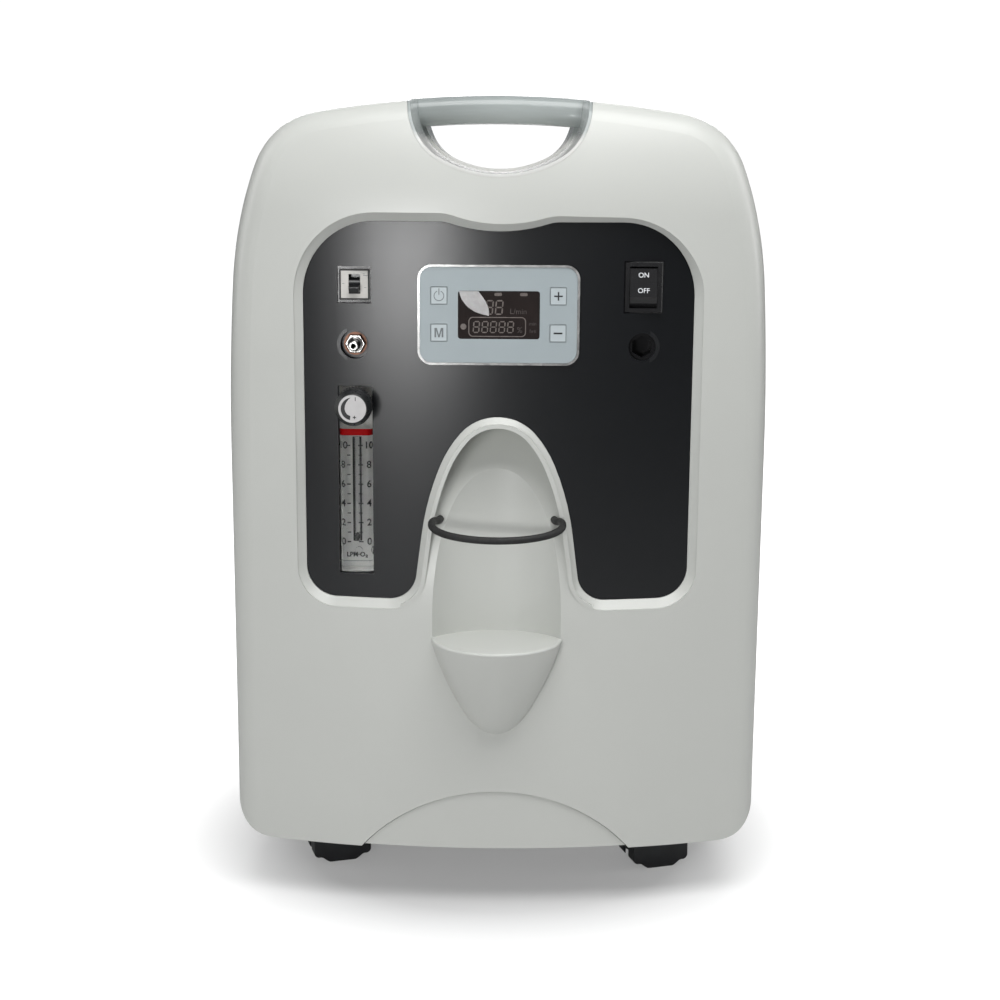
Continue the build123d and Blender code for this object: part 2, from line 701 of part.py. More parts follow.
with BuildPart() as flow_meter:
    with BuildSketch(Plane.XY.offset(meter_low)):
        with Locations((-column_x, (meter_front_y + meter_back_y) / 2)):
            Rectangle(2 * meter_half, meter_back_y - meter_front_y)
    extrude(amount=meter_high - meter_low)
    fillet(flow_meter.edges().filter_by(Axis.Z).group_by(Axis.Y)[0], 4.5)
    with Locations((-column_x, bore_y, (bore_low + bore_high) / 2)):
        Cylinder(meter_bore, bore_high - bore_low, mode=Mode.SUBTRACT)
    with Locations(backward(-column_x, meter_front_y - 1, knob_z)):
        Cylinder(5.0, 12, align=upwards, mode=Mode.SUBTRACT)
    with Locations(*[backward(-column_x, meter_back_y - 4, z) for z in (meter_low + 12, knob_z)]):
        Cylinder(3.0, 12, align=upwards, mode=Mode.SUBTRACT)
finish(flow_meter, "flow_meter")

with BuildPart() as flow_float:
    with Locations((-column_x, bore_y, float_rest_z)):
        Sphere(float_radius)
finish(flow_float, "flow_float")

with BuildPart() as flow_valve:
    with Locations(forward(-column_x, meter_front_y + 11, knob_z)):
        Cylinder(4.95, 14, align=upwards)
        Cylinder(3.0, meter_front_y + 11 - knob_front_y - 4, align=upwards)
finish(flow_valve, "flow_valve")

with BuildPart() as flow_knob:
    knob_plane = Plane((-column_x, knob_back_y, knob_z), x_dir=(1, 0, 0), z_dir=(0, -1, 0))
    knob_length = knob_back_y - knob_front_y
    with BuildSketch(knob_plane):
        Circle(knob_radius)
    extrude(amount=knob_length - 6)
    with BuildSketch(knob_plane.offset(knob_length - 6)):
        Circle(knob_radius)
    with BuildSketch(knob_plane.offset(knob_length)):
        Circle(knob_face_radius)
    loft()
    fillet(flow_knob.faces().sort_by(Axis.Y)[0].edges(), 0.8)
    with BuildSketch(knob_plane):
        with PolarLocations(knob_radius + 0.5, 36):
            Circle(0.9)
    extrude(amount=knob_length - 6.5, mode=Mode.SUBTRACT)
    with Locations(forward(-column_x, knob_back_y, knob_z)):
        Cylinder(3.04, 2 * (knob_length - 3.9), mode=Mode.SUBTRACT)
finish(flow_knob, "flow_knob")

# ---------------------------------------------------------------- bottle strap

strap_half_route = [
    (41.0, front_y + 17.5, 293.0),
    (41.0, front_y + 4.0, 293.0),
    (46.0, front_y - 5.5, 296.0),
    (46.5, front_y - 16.5, 293.0),
    (38.0, front_y - 26.5, 290.4),
    (25.0, front_y - 33.2, 289.0),
    (9.0, front_y - 36.7, 288.2),
]
strap_route = strap_half_route + [(-x, y, z) for x, y, z in reversed(strap_half_route)]


def route_radii(route):
    """One radius for each corner of a route, as large as the two runs beside it allow."""
    radii = []
    points = [Vector(*point) for point in route]
    for before, at, after in zip(points, points[1:], points[2:]):
        run_in, run_out = at - before, after - at
        turn = run_in.get_angle(run_out)
        shorter = min(run_in.length, run_out.length)
        radii.append(0.45 * shorter / tan(radians(turn / 2)))
    return radii


def cord(route, diameter):
    """A round cord along straight runs joined by tangent arcs."""
    radii = route_radii(route)
    with BuildPart() as run:
        with BuildLine() as path:
            FilletPolyline(*route, radius=radii)
        centre_line = path.wires()[0]
        start = Plane(centre_line @ 0, z_dir=centre_line % 0)
        with BuildSketch(start):
            Circle(diameter / 2)
        sweep()
    section = pi * diameter**2 / 4
    print("radii", [round(r, 1) for r in radii], "length", round(centre_line.length, 1))
    print("volume", round(run.part.volume), "section by length", round(section * centre_line.length))
    return run


bottle_strap = cord(strap_route, strap_diameter)
finish(bottle_strap, "bottle_strap")

with BuildPart() as strap_beads:
    with Locations(backward(*strap_route[0]), backward(*strap_route[-1])):
        Cylinder(bead_radius, bead_length, align=upwards)
finish(strap_beads, "strap_beads")

# ---------------------------------------------------------------- foot and casters

tray_floor, tray_top = foot_height, foot_height + 5.5
caster_points = {
    "front_left": (-caster_x, caster_front_y, 17.0),
    "front_right": (caster_x, caster_front_y, 197.0),
    "rear_left": (-caster_x, caster_rear_y, 75.0),
    "rear_right": (caster_x, caster_rear_y, 110.0),
}
stem_radius, boss_radius, boss_top = 5.0, 10.0, 62.0
caster_sites = [(x, y) for x, y, _ in caster_points.values()]

with BuildPart() as base_tray:
    add(box_between(-149.7, 149.7, -119.7, 179.7, tray_floor, tray_top))
    add(box_between(-160, 160, -124, 186, foot_height + wall, tray_top))
    add(box_between(-145, 145, -115, 175, tray_floor + 2.5, 80), mode=Mode.SUBTRACT)
    with Locations(*[(x, y, tray_floor) for x, y in caster_sites]):
        Cylinder(boss_radius, boss_top - tray_floor, align=upwards)
        Cylinder(stem_radius + running_gap, 60, mode=Mode.SUBTRACT)
    with Locations(*foot_screw_points):
        Cylinder(1.9, 40, mode=Mode.SUBTRACT)
    with Locations((0, 47, tray_floor)):
        with GridLocations(16, 0, 9, 1):
            Box(6, 50, 12, mode=Mode.SUBTRACT)
finish(base_tray, "base_tray")

with BuildPart() as foot_screws:
    with Locations(*foot_screw_points):
        Cylinder(3.6, 2.0, align=downwards)
        Cylinder(1.85, 5.2, align=upwards)
finish(foot_screws, "foot_screws")

# Each caster's hood is a skirt round both wheels, open underneath.
hood_radius, hood_inner, hood_half = 22.8, 21.0, 17.4
skirt_depth, wheel_room = 16.0, 11.9
web_half, axle_radius = 4.0, 3.0
wheel_near, wheel_far, hub_far = web_half + 0.5, web_half + 0.5 + wheel_width, web_half + 9.5

for site, (x, y, heading) in caster_points.items():
    lead = Vector(cos(radians(heading)), sin(radians(heading)), 0)
    axle_at = Vector(x, y, wheel_radius) + lead * caster_trail
    across = Vector(-lead.Y, lead.X, 0)
    side_plane = Plane(axle_at, x_dir=lead, z_dir=(lead.Y, -lead.X, 0))

    with BuildPart() as hood:
        with BuildSketch(side_plane.offset(-hood_half)) as hood_side:
            Circle(hood_radius)
            with Locations((0, -skirt_depth / 2)):
                Rectangle(2 * hood_radius, skirt_depth)
            fillet(hood_side.vertices().group_by(Axis.Z)[0], 4)
        extrude(amount=2 * hood_half)
        flanks = hood.faces().sort_by(Axis(axle_at, across))
        fillet(flanks[0].edges() + flanks[-1].edges(), 1.0)
        with Locations((x, y, 33.0)):
            Cylinder(7.5, foot_height - 0.3 - 33.0, align=upwards)
        for side in (-1, 1):
            middle = side * (web_half + wheel_room / 2)
            with BuildSketch(side_plane.offset(middle - wheel_room / 2)):
                Circle(hood_inner)
                with Locations((0, -hood_inner)):
                    Rectangle(2 * hood_inner, 2 * hood_inner)
            extrude(amount=wheel_room, mode=Mode.SUBTRACT)
        with BuildSketch(side_plane.offset(-web_half - 1)):
            with Locations((0, -hood_radius - 8)):
                Rectangle(3 * hood_radius, 2 * hood_radius)
        extrude(amount=2 * web_half + 2, mode=Mode.SUBTRACT)
        with Locations((x, y, foot_height - 2)):
            Cylinder(stem_radius, boss_top - foot_height, align=upwards)
        with BuildSketch(side_plane.offset(-web_half - 1)):
            Circle(axle_radius)
        extrude(amount=2 * web_half + 2, mode=Mode.SUBTRACT)
    finish(hood, f"caster_hood_{site}")

    with BuildPart() as axle:
        with BuildSketch(side_plane.offset(-hub_far - 0.9)):
            Circle(axle_radius)
        extrude(amount=2 * (hub_far + 0.9))
        for side in (-1, 1):
            with BuildSketch(side_plane.offset(side * (hub_far + 0.55) - 0.35)):
                Circle(axle_radius + 1.6)
            extrude(amount=0.7)
    finish(axle, f"caster_axle_{site}")

    for side, label in ((-1, "a"), (1, "b")):
        with BuildPart() as wheel:
            middle = side * (wheel_near + wheel_far) / 2
            with BuildSketch(side_plane.offset(middle - wheel_width / 2)):
                Circle(wheel_radius)
            extrude(amount=wheel_width)
            fillet(wheel.edges().filter_by(GeomType.CIRCLE), 2.4)
            recess_at = hub_far if side > 0 else -hub_far - 10
            with BuildSketch(side_plane.offset(recess_at)):
                Circle(13.5)
            extrude(amount=10, mode=Mode.SUBTRACT)
            with BuildSketch(side_plane.offset(-40)):
                Circle(axle_radius + 0.06)
            extrude(amount=80, mode=Mode.SUBTRACT)
        finish(wheel, f"caster_wheel_{site}_{label}")
    print(site, [round(v, 3) for v in axle_at], [round(v, 6) for v in across])

# ---------------------------------------------------------------- rear fittings

door_half, door_top, door_thickness, barrel_radius = bay_half - 0.4, bay_high - 0.4, 3.4, 1.9
door_outer_y = door_axis_y + barrel_radius

with BuildPart() as filter_door:
    door_z, door_height = (door_axis_z + door_top) / 2, door_top - door_axis_z
    add(slab(0, door_z, 2 * door_half, door_height, door_outer_y - door_thickness, door_outer_y))
    with Locations(sideways(0, door_axis_y, door_axis_z)):
        Cylinder(barrel_radius, 2 * door_half)
        Cylinder(door_pin_radius, 2 * (door_half + door_pin_length))
    with BuildSketch(front_plane(door_outer_y)):
        with Locations((0, door_z - 2)):
            with GridLocations(0, 11, 1, 9):
                SlotOverall(108, 5)
        with Locations((0, door_top)):
            Circle(9)
    extrude(amount=door_thickness + 1, both=True, mode=Mode.SUBTRACT)
finish(filter_door, "filter_door")

with BuildPart() as filter_foam:
    add(slab(0, bay_z, 2 * bay_half - 6, bay_height - 8, bay_floor_y + 0.3, door_axis_y - 2.6))
finish(filter_foam, "filter_foam")

with BuildPart() as power_inlet:
    with BuildSketch(front_plane(rear_y - 28)):
        with Locations((-inlet_x, inlet_z)):
            Rectangle(inlet_width, inlet_height)
    extrude(amount=-28)
    with BuildSketch(front_plane(rear_y - wall)):
        with Locations((-inlet_x, inlet_z)):
            RectangleRounded(50, 27, 4)
    extrude(amount=wall)
    with BuildSketch(front_plane(rear_y)):
        with Locations((-inlet_x, inlet_z)):
            Rectangle(24, 16.4)
    extrude(amount=inlet_depth, mode=Mode.SUBTRACT)
    fillet(power_inlet.edges().filter_by(Axis.Y).group_by(Axis.Z)[-2], 3.5)
    with BuildSketch(front_plane(rear_y - inlet_depth)):
        with Locations(*[(-inlet_x + x, inlet_z + z) for x, z in ((-7, -2), (7, -2), (0, 2))]):
            Rectangle(2, 4)
    extrude(amount=-12)
finish(power_inlet, "power_inlet")

with BuildPart() as rear_screws:
    for x, z in rear_screw_points:
        with Locations(forward(x, rear_y - 1.4, z)):
            Cylinder(3.9, 1.3, align=downwards)
            Cylinder(1.95, 10, align=upwards)
            Cylinder(1.2, 2.0, mode=Mode.SUBTRACT)
finish(rear_screws, "rear_screws")

# ---------------------------------------------------------------- inside

pan_floor = tray_floor + 2.5
chassis_half, sheet = 150.0, 2.0
deck_low, deck_high = 212.0, 215.0
fan_y, fan_size, fan_depth = -33.0, 120.0, 25.0
bulkhead_y = 58.0
rear_inner_y = rear_y - wall

with BuildPart() as chassis_frame:
    add(box_between(-chassis_half, chassis_half, -95, bulkhead_y + sheet, deck_low, deck_high))
    add(box_between(-110, 110, bulkhead_y, bulkhead_y + sheet, deck_high, 500))
    for side in (-1, 1):
        low, high = sorted((side * chassis_half, side * (chassis_half + sheet)))
        add(box_between(low, high, -60, rear_inner_y, tray_top, deck_high))
        low, high = sorted((side * (chassis_half - 10), side * (chassis_half + 10)))
        add(box_between(low, high, rear_inner_y - sheet, rear_inner_y, tray_top, 505))
    add(box_between(-200, 200, -35, 160, tray_top + 25, deck_low - 35), mode=Mode.SUBTRACT)
    with Locations((0, fan_y, deck_low)):
        Cylinder(fan_size / 2 - 4, 20, mode=Mode.SUBTRACT)
    with Locations(*[forward(x, rear_inner_y, z) for x, z in rear_screw_points]):
        Cylinder(2.0, 20, mode=Mode.SUBTRACT)
finish(chassis_frame, "chassis_frame")

pump_y, pump_z, pump_radius, pump_half = -30.0, 125.0, 55.0, 65.0
mount_points = [(x, pump_y + y) for x in (-58, 58) for y in (-35, 35)]
mount_top = 66.0

with BuildPart() as compressor_body:
    with Locations(sideways(0, pump_y, pump_z)):
        Cylinder(pump_radius, 2 * pump_half)
    add(box_between(-75, 75, pump_y - 48, pump_y + 48, mount_top, mount_top + 5))
    add(box_between(-40, 40, pump_y - 30, pump_y + 30, mount_top, pump_z))
    for x in (-36, -12, 12, 36):
        with Locations(sideways(x, pump_y, pump_z)):
            Cylinder(pump_radius + 2, 5)
finish(compressor_body, "compressor_body")

with BuildPart() as compressor_heads:
    for side in (-1, 1):
        low, high = sorted((side * pump_half, side * (pump_half + 36)))
        add(box_between(low, high, pump_y - 36, pump_y + 36, pump_z - 36, pump_z + 36))
    with Locations((0, pump_y, pump_z)):
        with GridLocations(2 * pump_half + 44, 0, 2, 1):
            for z in (-24, -12, 0, 12, 24):
                with Locations((0, 0, z)):
                    Box(8, 200, 5, mode=Mode.SUBTRACT)
finish(compressor_heads, "compressor_heads")

with BuildPart() as compressor_mounts:
    with Locations(*[(x, y, pan_floor) for x, y in mount_points]):
        Cylinder(11, mount_top - pan_floor, align=upwards)
finish(compressor_mounts, "compressor_mounts")

tank_x, tank_y, tank_radius, tank_top = 80.0, 120.0, 42.0, 400.0
with BuildPart() as sieve_tanks:
    with Locations(*[(side * tank_x, tank_y, pan_floor) for side in (-1, 1)]):
        Cylinder(tank_radius - 2, tank_top - pan_floor, align=upwards)
        Cylinder(tank_radius, 14, align=upwards)
    with Locations(*[(side * tank_x, tank_y, tank_top) for side in (-1, 1)]):
        Cylinder(tank_radius, 14, align=downwards)
finish(sieve_tanks, "sieve_tanks")

with BuildPart() as buffer_tank:
    with Locations((0, 140, pan_floor)):
        Cylinder(32, 282, align=upwards)
    fillet(buffer_tank.edges().filter_by(GeomType.CIRCLE), 10)
    with Locations((0, 140, pan_floor + 3)):
        Cylinder(29, 276, align=upwards, mode=Mode.SUBTRACT)
        Cylinder(4, 300, align=upwards, mode=Mode.SUBTRACT)
finish(buffer_tank, "buffer_tank")

with BuildPart() as valve_manifold:
    add(box_between(-110, 110, tank_y - 24, tank_y + 24, tank_top, tank_top + 24))
    with Locations(*[(side * 45, tank_y, tank_top + 24) for side in (-1, 1)]):
        Cylinder(13, 34, align=upwards)
        Cylinder(6, 42, align=upwards)
    with Locations(forward(0, tank_y - 24, tank_top + 12)):
        Cylinder(5, 14, align=upwards)
finish(valve_manifold, "valve_manifold")

fan_pin_radius, fan_hub_radius, blade_tip = 3.0, 21.0, 54.5
with BuildPart() as fan_frame:
    with Locations((0, fan_y, deck_high)):
        Box(fan_size, fan_size, fan_depth, align=upwards)
    with Locations((0, fan_y, deck_high)):
        Cylinder(fan_size / 2 - 3, 80, mode=Mode.SUBTRACT)
        for turn in (45, 135):
            Box(fan_size * 1.1, 7, 3, rotation=(0, 0, turn), align=upwards)
        Cylinder(20, 4, align=upwards)
        Cylinder(fan_pin_radius, 19, align=upwards)
finish(fan_frame, "fan_frame")

with BuildPart() as fan_rotor:
    with Locations((0, fan_y, deck_high + 13)):
        with PolarLocations(37, 7):
            Box(34, 26, 1.6, rotation=(28, 0, 0))
    with Locations((0, fan_y, deck_high + 5)):
        Cylinder(fan_hub_radius, 17, align=upwards)
        Cylinder(fan_pin_radius + running_gap, 30.5, mode=Mode.SUBTRACT)
finish(fan_rotor, "fan_rotor")

with BuildPart() as main_board:
    board_y = bulkhead_y - 8
    add(box_between(-70, 70, board_y, board_y + 1.6, 390, 500))
    with Locations(*[forward(x, bulkhead_y, z) for x in (-64, 64) for z in (396, 494)]):
        Cylinder(3, 8, align=upwards)
    add(box_between(-60, -15, board_y - 32, board_y, 400, 440))
    add(box_between(10, 55, board_y - 10, board_y, 450, 485))
    with Locations(*[forward(x, board_y, 415) for x in (15, 35, 55)]):
        Cylinder(8, 26, align=upwards)
finish(main_board, "main_board")
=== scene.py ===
import math
import bmesh
import bpy
from mathutils import Matrix, Vector


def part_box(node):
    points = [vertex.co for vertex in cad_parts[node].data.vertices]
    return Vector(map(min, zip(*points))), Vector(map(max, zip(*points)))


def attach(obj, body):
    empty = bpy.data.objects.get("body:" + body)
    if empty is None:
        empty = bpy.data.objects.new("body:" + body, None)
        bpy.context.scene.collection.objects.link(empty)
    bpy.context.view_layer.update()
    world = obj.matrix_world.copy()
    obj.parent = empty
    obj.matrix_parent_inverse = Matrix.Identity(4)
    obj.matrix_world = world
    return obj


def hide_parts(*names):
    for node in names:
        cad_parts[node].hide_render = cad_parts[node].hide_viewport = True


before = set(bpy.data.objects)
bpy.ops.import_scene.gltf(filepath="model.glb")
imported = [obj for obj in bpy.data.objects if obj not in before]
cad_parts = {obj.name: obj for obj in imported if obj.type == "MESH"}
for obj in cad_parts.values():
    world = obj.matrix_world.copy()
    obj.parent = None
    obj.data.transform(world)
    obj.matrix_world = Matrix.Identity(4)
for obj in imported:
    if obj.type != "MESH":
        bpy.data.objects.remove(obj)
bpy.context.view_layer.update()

MM = 0.001
COLUMN_X = 101.5
# Under this height, in m, the handle moulding gets a paler colour: painted light on the lit floor of its
# well.
WELL_PAINTED_LIGHT_Z = 0.563
scene = bpy.context.scene


# ------------------------------------------------------------------ materials

def new_material(name):
    """A material with its shader and the piece's own coordinates."""
    material = bpy.data.materials.new(name)
    material.use_nodes = True
    nodes = material.node_tree.nodes
    shader = nodes["Principled BSDF"]
    place = nodes.new("ShaderNodeTexCoord").outputs["Object"]
    return material, nodes, material.node_tree.links, shader, place


def noise(nodes, links, place, size_mm, detail=3.0, stretch=None):
    """Noise whose features are about size_mm across, stretched along an axis if asked."""
    if stretch:
        mapping = nodes.new("ShaderNodeMapping")
        mapping.inputs["Scale"].default_value = stretch
        links.new(place, mapping.inputs["Vector"])
        place = mapping.outputs["Vector"]
    texture = nodes.new("ShaderNodeTexNoise")
    texture.inputs["Scale"].default_value = 1.0 / (size_mm * MM)
    texture.inputs["Detail"].default_value = detail
    links.new(place, texture.inputs["Vector"])
    return texture.outputs["Fac"]


def spread(nodes, links, value, low, high):
    """The value moved from the middle of its range to between low and high."""
    ramp = nodes.new("ShaderNodeMapRange")
    ramp.inputs["From Min"].default_value = 0.3
    ramp.inputs["From Max"].default_value = 0.7
    ramp.inputs["To Min"].default_value = low
    ramp.inputs["To Max"].default_value = high
    links.new(value, ramp.inputs["Value"])
    return ramp.outputs["Result"]


def finish_material(
    name, colour, roughness, vary=0.04, rough_vary=0.05, patch_mm=60.0, grain_mm=0.5,
    grain=0.05, stretch=None, metallic=0.0, edge=0.0, specular=0.5, coat=0.0, painted_light_under=None,
):
    """Moulded or metal finish: slow colour and gloss changes, fine grain, worn edges, and, if asked, a
    paler colour under a given height as painted light.
    """
    material, nodes, links, shader, place = new_material(name)
    slow = noise(nodes, links, place, patch_mm, 2.0)
    dark = [max(0.0, c * (1 - vary)) for c in colour]
    light = [min(1.0, c * (1 + vary)) for c in colour]
    mix = nodes.new("ShaderNodeMix")
    mix.data_type = "RGBA"
    mix.inputs["A"].default_value = (*dark, 1)
    mix.inputs["B"].default_value = (*light, 1)
    links.new(spread(nodes, links, slow, 0.0, 1.0), mix.inputs["Factor"])
    tone = mix.outputs["Result"]
    if edge:
        geometry = nodes.new("ShaderNodeNewGeometry")
        wear = nodes.new("ShaderNodeMapRange")
        wear.inputs["From Min"].default_value = 0.52
        wear.inputs["From Max"].default_value = 0.62
        wear.inputs["To Max"].default_value = edge
        links.new(geometry.outputs["Pointiness"], wear.inputs["Value"])
        worn = nodes.new("ShaderNodeMix")
        worn.data_type = "RGBA"
        worn.inputs["B"].default_value = (*[min(1.0, 0.25 + c * 1.1) for c in colour], 1)
        links.new(wear.outputs["Result"], worn.inputs["Factor"])
        links.new(tone, worn.inputs["A"])
        tone = worn.outputs["Result"]
    # Painted light: under the given height the colour is swapped for a paler one, standing in for light
    # falling on a lit floor.
    if painted_light_under:
        level, lit_colour = painted_light_under
        split = nodes.new("ShaderNodeSeparateXYZ")
        links.new(place, split.inputs["Vector"])
        band = nodes.new("ShaderNodeMapRange")
        band.inputs["From Min"].default_value = level - 0.004
        band.inputs["From Max"].default_value = level + 0.004
        links.new(split.outputs["Z"], band.inputs["Value"])
        lit_floor_mix = nodes.new("ShaderNodeMix")
        lit_floor_mix.data_type = "RGBA"
        lit_floor_mix.inputs["A"].default_value = (*lit_colour, 1)
        links.new(band.outputs["Result"], lit_floor_mix.inputs["Factor"])
        links.new(tone, lit_floor_mix.inputs["B"])
        tone = lit_floor_mix.outputs["Result"]
    links.new(tone, shader.inputs["Base Color"])
    gloss = noise(nodes, links, place, patch_mm * 0.4, 4.0)
    links.new(
        spread(nodes, links, gloss, roughness - rough_vary, roughness + rough_vary),
        shader.inputs["Roughness"],
    )
    shader.inputs["Metallic"].default_value = metallic
    shader.inputs["Specular IOR Level"].default_value = specular
    shader.inputs["Coat Weight"].default_value = coat
    shader.inputs["Coat Roughness"].default_value = 0.08
    if grain:
        bump = nodes.new("ShaderNodeBump")
        bump.inputs["Strength"].default_value = grain
        bump.inputs["Distance"].default_value = 0.3 * MM
        links.new(noise(nodes, links, place, grain_mm, 2.0, stretch), bump.inputs["Height"])
        links.new(bump.outputs["Normal"], shader.inputs["Normal"])
    return material


def clear_material(name, colour, roughness, ior=1.49):
    """Polished clear acrylic with faint flow lines."""
    material, nodes, links, shader, place = new_material(name)
    shader.inputs["Base Color"].default_value = (*colour, 1)
    shader.inputs["Roughness"].default_value = roughness
    shader.inputs["IOR"].default_value = ior
    shader.inputs["Transmission Weight"].default_value = 1.0
    bump = nodes.new("ShaderNodeBump")
    bump.inputs["Strength"].default_value = 0.04
    bump.inputs["Distance"].default_value = 0.2 * MM
    links.new(noise(nodes, links, place, 2.0, 1.0, (1, 1, 0.08)), bump.inputs["Height"])
    links.new(bump.outputs["Normal"], shader.inputs["Normal"])
    return material


def foam_material(name, colour):
    """Open-cell foam: round cells with dark pits."""
    material, nodes, links, shader, place = new_material(name)
    cells = nodes.new("ShaderNodeTexVoronoi")
    cells.inputs["Scale"].default_value = 1 / (1.1 * MM)
    links.new(place, cells.inputs["Vector"])
    mix = nodes.new("ShaderNodeMix")
    mix.data_type = "RGBA"
    mix.inputs["A"].default_value = (*[c * 2.2 for c in colour], 1)
    mix.inputs["B"].default_value = (*[c * 0.2 for c in colour], 1)
    links.new(cells.outputs["Distance"], mix.inputs["Factor"])
    links.new(mix.outputs["Result"], shader.inputs["Base Color"])
    shader.inputs["Roughness"].default_value = 0.95
    bump = nodes.new("ShaderNodeBump")
    bump.inputs["Strength"].default_value = 0.8
    bump.inputs["Distance"].default_value = 0.8 * MM
    links.new(cells.outputs["Distance"], bump.inputs["Height"])
    links.new(bump.outputs["Normal"], shader.inputs["Normal"])
    return material


CASING = finish_material(
    "casing_grey", (0.600, 0.612, 0.582), 0.34, vary=0.012, rough_vary=0.03, patch_mm=120,
    grain_mm=0.7, grain=0.035,
)
# The handle is the casing's plastic: its darker grey is painted shade for the well it sits in, and its
# paler colour under the well height is painted light on the well's floor.
HANDLE_PAINTED_SHADE_LIGHT = finish_material(
    "handle_grey", (0.34, 0.37, 0.365), 0.16, vary=0.015, rough_vary=0.03, patch_mm=60, grain_mm=6.0,
    grain=0.015, painted_light_under=(WELL_PAINTED_LIGHT_Z, (0.70, 0.70, 0.68)),
)
TRAY = finish_material("tray_grey", (0.40, 0.41, 0.40), 0.5, grain_mm=0.9, grain=0.12)
PANEL = finish_material(
    "panel_black", (0.0050, 0.0058, 0.0072), 0.28, vary=0.04, rough_vary=0.005, patch_mm=70,
    grain_mm=0.75, grain=0.10, specular=0.55,
)
CHROME = finish_material(
    "bezel_chrome", (0.74, 0.74, 0.73), 0.22, vary=0.02, patch_mm=8, grain_mm=1.5, grain=0.01,
    metallic=1.0,
)
OVERLAY = finish_material(
    "overlay_blue_grey", (0.37, 0.425, 0.445), 0.42, vary=0.015, patch_mm=30, grain_mm=0.35,
    grain=0.05,
)
LCD = finish_material(
    "lcd_dark", (0.022, 0.016, 0.015), 0.09, vary=0.2, rough_vary=0.02, patch_mm=20, grain=0.0,
    coat=0.6,
)
BOARD = finish_material(
    "circuit_green", (0.02, 0.13, 0.05), 0.35, vary=0.3, patch_mm=3, grain_mm=0.6, grain=0.2,
)
KEY = finish_material(
    "key_face", (0.50, 0.56, 0.58), 0.32, vary=0.02, patch_mm=8, grain_mm=0.4, grain=0.04,
)
LABEL = finish_material(
    "label_white", (0.62, 0.60, 0.57), 0.4, vary=0.05, patch_mm=6, grain_mm=0.5, grain=0.05,
)
GLOSS_BLACK = finish_material(
    "switch_black", (0.013, 0.013, 0.014), 0.2, vary=0.1, rough_vary=0.05, patch_mm=9, grain_mm=0.6,
    grain=0.04,
)
DEEP_BLACK = finish_material(
    "plug_black", (0.004, 0.004, 0.005), 0.35, vary=0.1, patch_mm=9, grain_mm=0.6, grain=0.04,
    specular=0.2,
)
COPPER = finish_material(
    "copper", (0.13, 0.07, 0.05), 0.35, vary=0.12, patch_mm=3, grain_mm=0.5, grain=0.1, metallic=1.0,
)
NICKEL = finish_material(
    "nickel_steel", (0.60, 0.59, 0.57), 0.2, vary=0.05, patch_mm=4, grain_mm=0.8, grain=0.05,
    stretch=(1, 8, 1), metallic=1.0,
)
CLEAR = clear_material("meter_clear", (0.96, 0.97, 0.965), 0.02)
FLOAT = finish_material("float_black", (0.012, 0.012, 0.013), 0.12, vary=0.1, patch_mm=2, grain=0.0)
BRASS = finish_material(
    "valve_brass", (0.72, 0.50, 0.20), 0.25, vary=0.08, patch_mm=3, grain_mm=0.4, grain=0.1,
    metallic=1.0,
)
KNOB = finish_material(
    "knob_black", (0.016, 0.017, 0.018), 0.3, vary=0.1, patch_mm=6, grain_mm=0.4, grain=0.06,
)
RUBBER = finish_material(
    "strap_rubber", (0.012, 0.012, 0.012), 0.62, vary=0.25, rough_vary=0.08, patch_mm=5, grain_mm=0.5,
    grain=0.3,
)
CASTER = finish_material(
    "caster_black", (0.020, 0.021, 0.023), 0.4, vary=0.15, patch_mm=12, grain_mm=0.8, grain=0.12,
)
WHEEL = finish_material(
    "wheel_black", (0.022, 0.023, 0.025), 0.46, vary=0.2, patch_mm=9, grain_mm=0.7, grain=0.18,
    edge=0.06,
)
FOAM = foam_material("foam_black", (0.03, 0.03, 0.034))
ZINC = finish_material(
    "zinc_sheet", (0.55, 0.57, 0.59), 0.35, vary=0.12, rough_vary=0.12, patch_mm=14, grain_mm=3,
    grain=0.03, metallic=0.9,
)
CAST = finish_material(
    "cast_aluminium", (0.56, 0.57, 0.58), 0.45, vary=0.08, rough_vary=0.1, patch_mm=25, grain_mm=1.2,
    grain=0.35, metallic=0.9,
)
TANK = finish_material(
    "tank_grey", (0.20, 0.23, 0.26), 0.45, vary=0.06, patch_mm=50, grain_mm=1.0, grain=0.12,
)
FAN = finish_material(
    "fan_black", (0.016, 0.016, 0.017), 0.38, vary=0.1, patch_mm=15, grain_mm=0.8, grain=0.1,
)

PRINT_BLACK = finish_material(
    "print_black", (0.012, 0.012, 0.014), 0.5, vary=0.2, patch_mm=2, grain_mm=0.3, grain=0.05,
)
PRINT_GREY = finish_material(
    "print_grey", (0.17, 0.19, 0.20), 0.5, vary=0.1, patch_mm=2, grain_mm=0.3, grain=0.05,
)
PRINT_EDGE = finish_material(
    "print_edge", (0.19, 0.22, 0.23), 0.5, vary=0.1, patch_mm=2, grain_mm=0.3, grain=0.05,
)
PRINT_WHITE = finish_material(
    "print_white", (0.78, 0.80, 0.82), 0.5, vary=0.06, patch_mm=2, grain_mm=0.3, grain=0.05,
)
PRINT_RED = finish_material(
    "print_red", (0.34, 0.003, 0.004), 0.5, vary=0.12, patch_mm=4, grain_mm=0.5, grain=0.03,
    specular=0.05,
)
SEGMENT = finish_material("lcd_segment", (0.135, 0.115, 0.105), 0.3, vary=0.2, patch_mm=3, grain=0.0)
SEGMENT_FAINT = finish_material(
    "lcd_segment_faint", (0.055, 0.045, 0.042), 0.3, vary=0.2, patch_mm=3, grain=0.0,
)
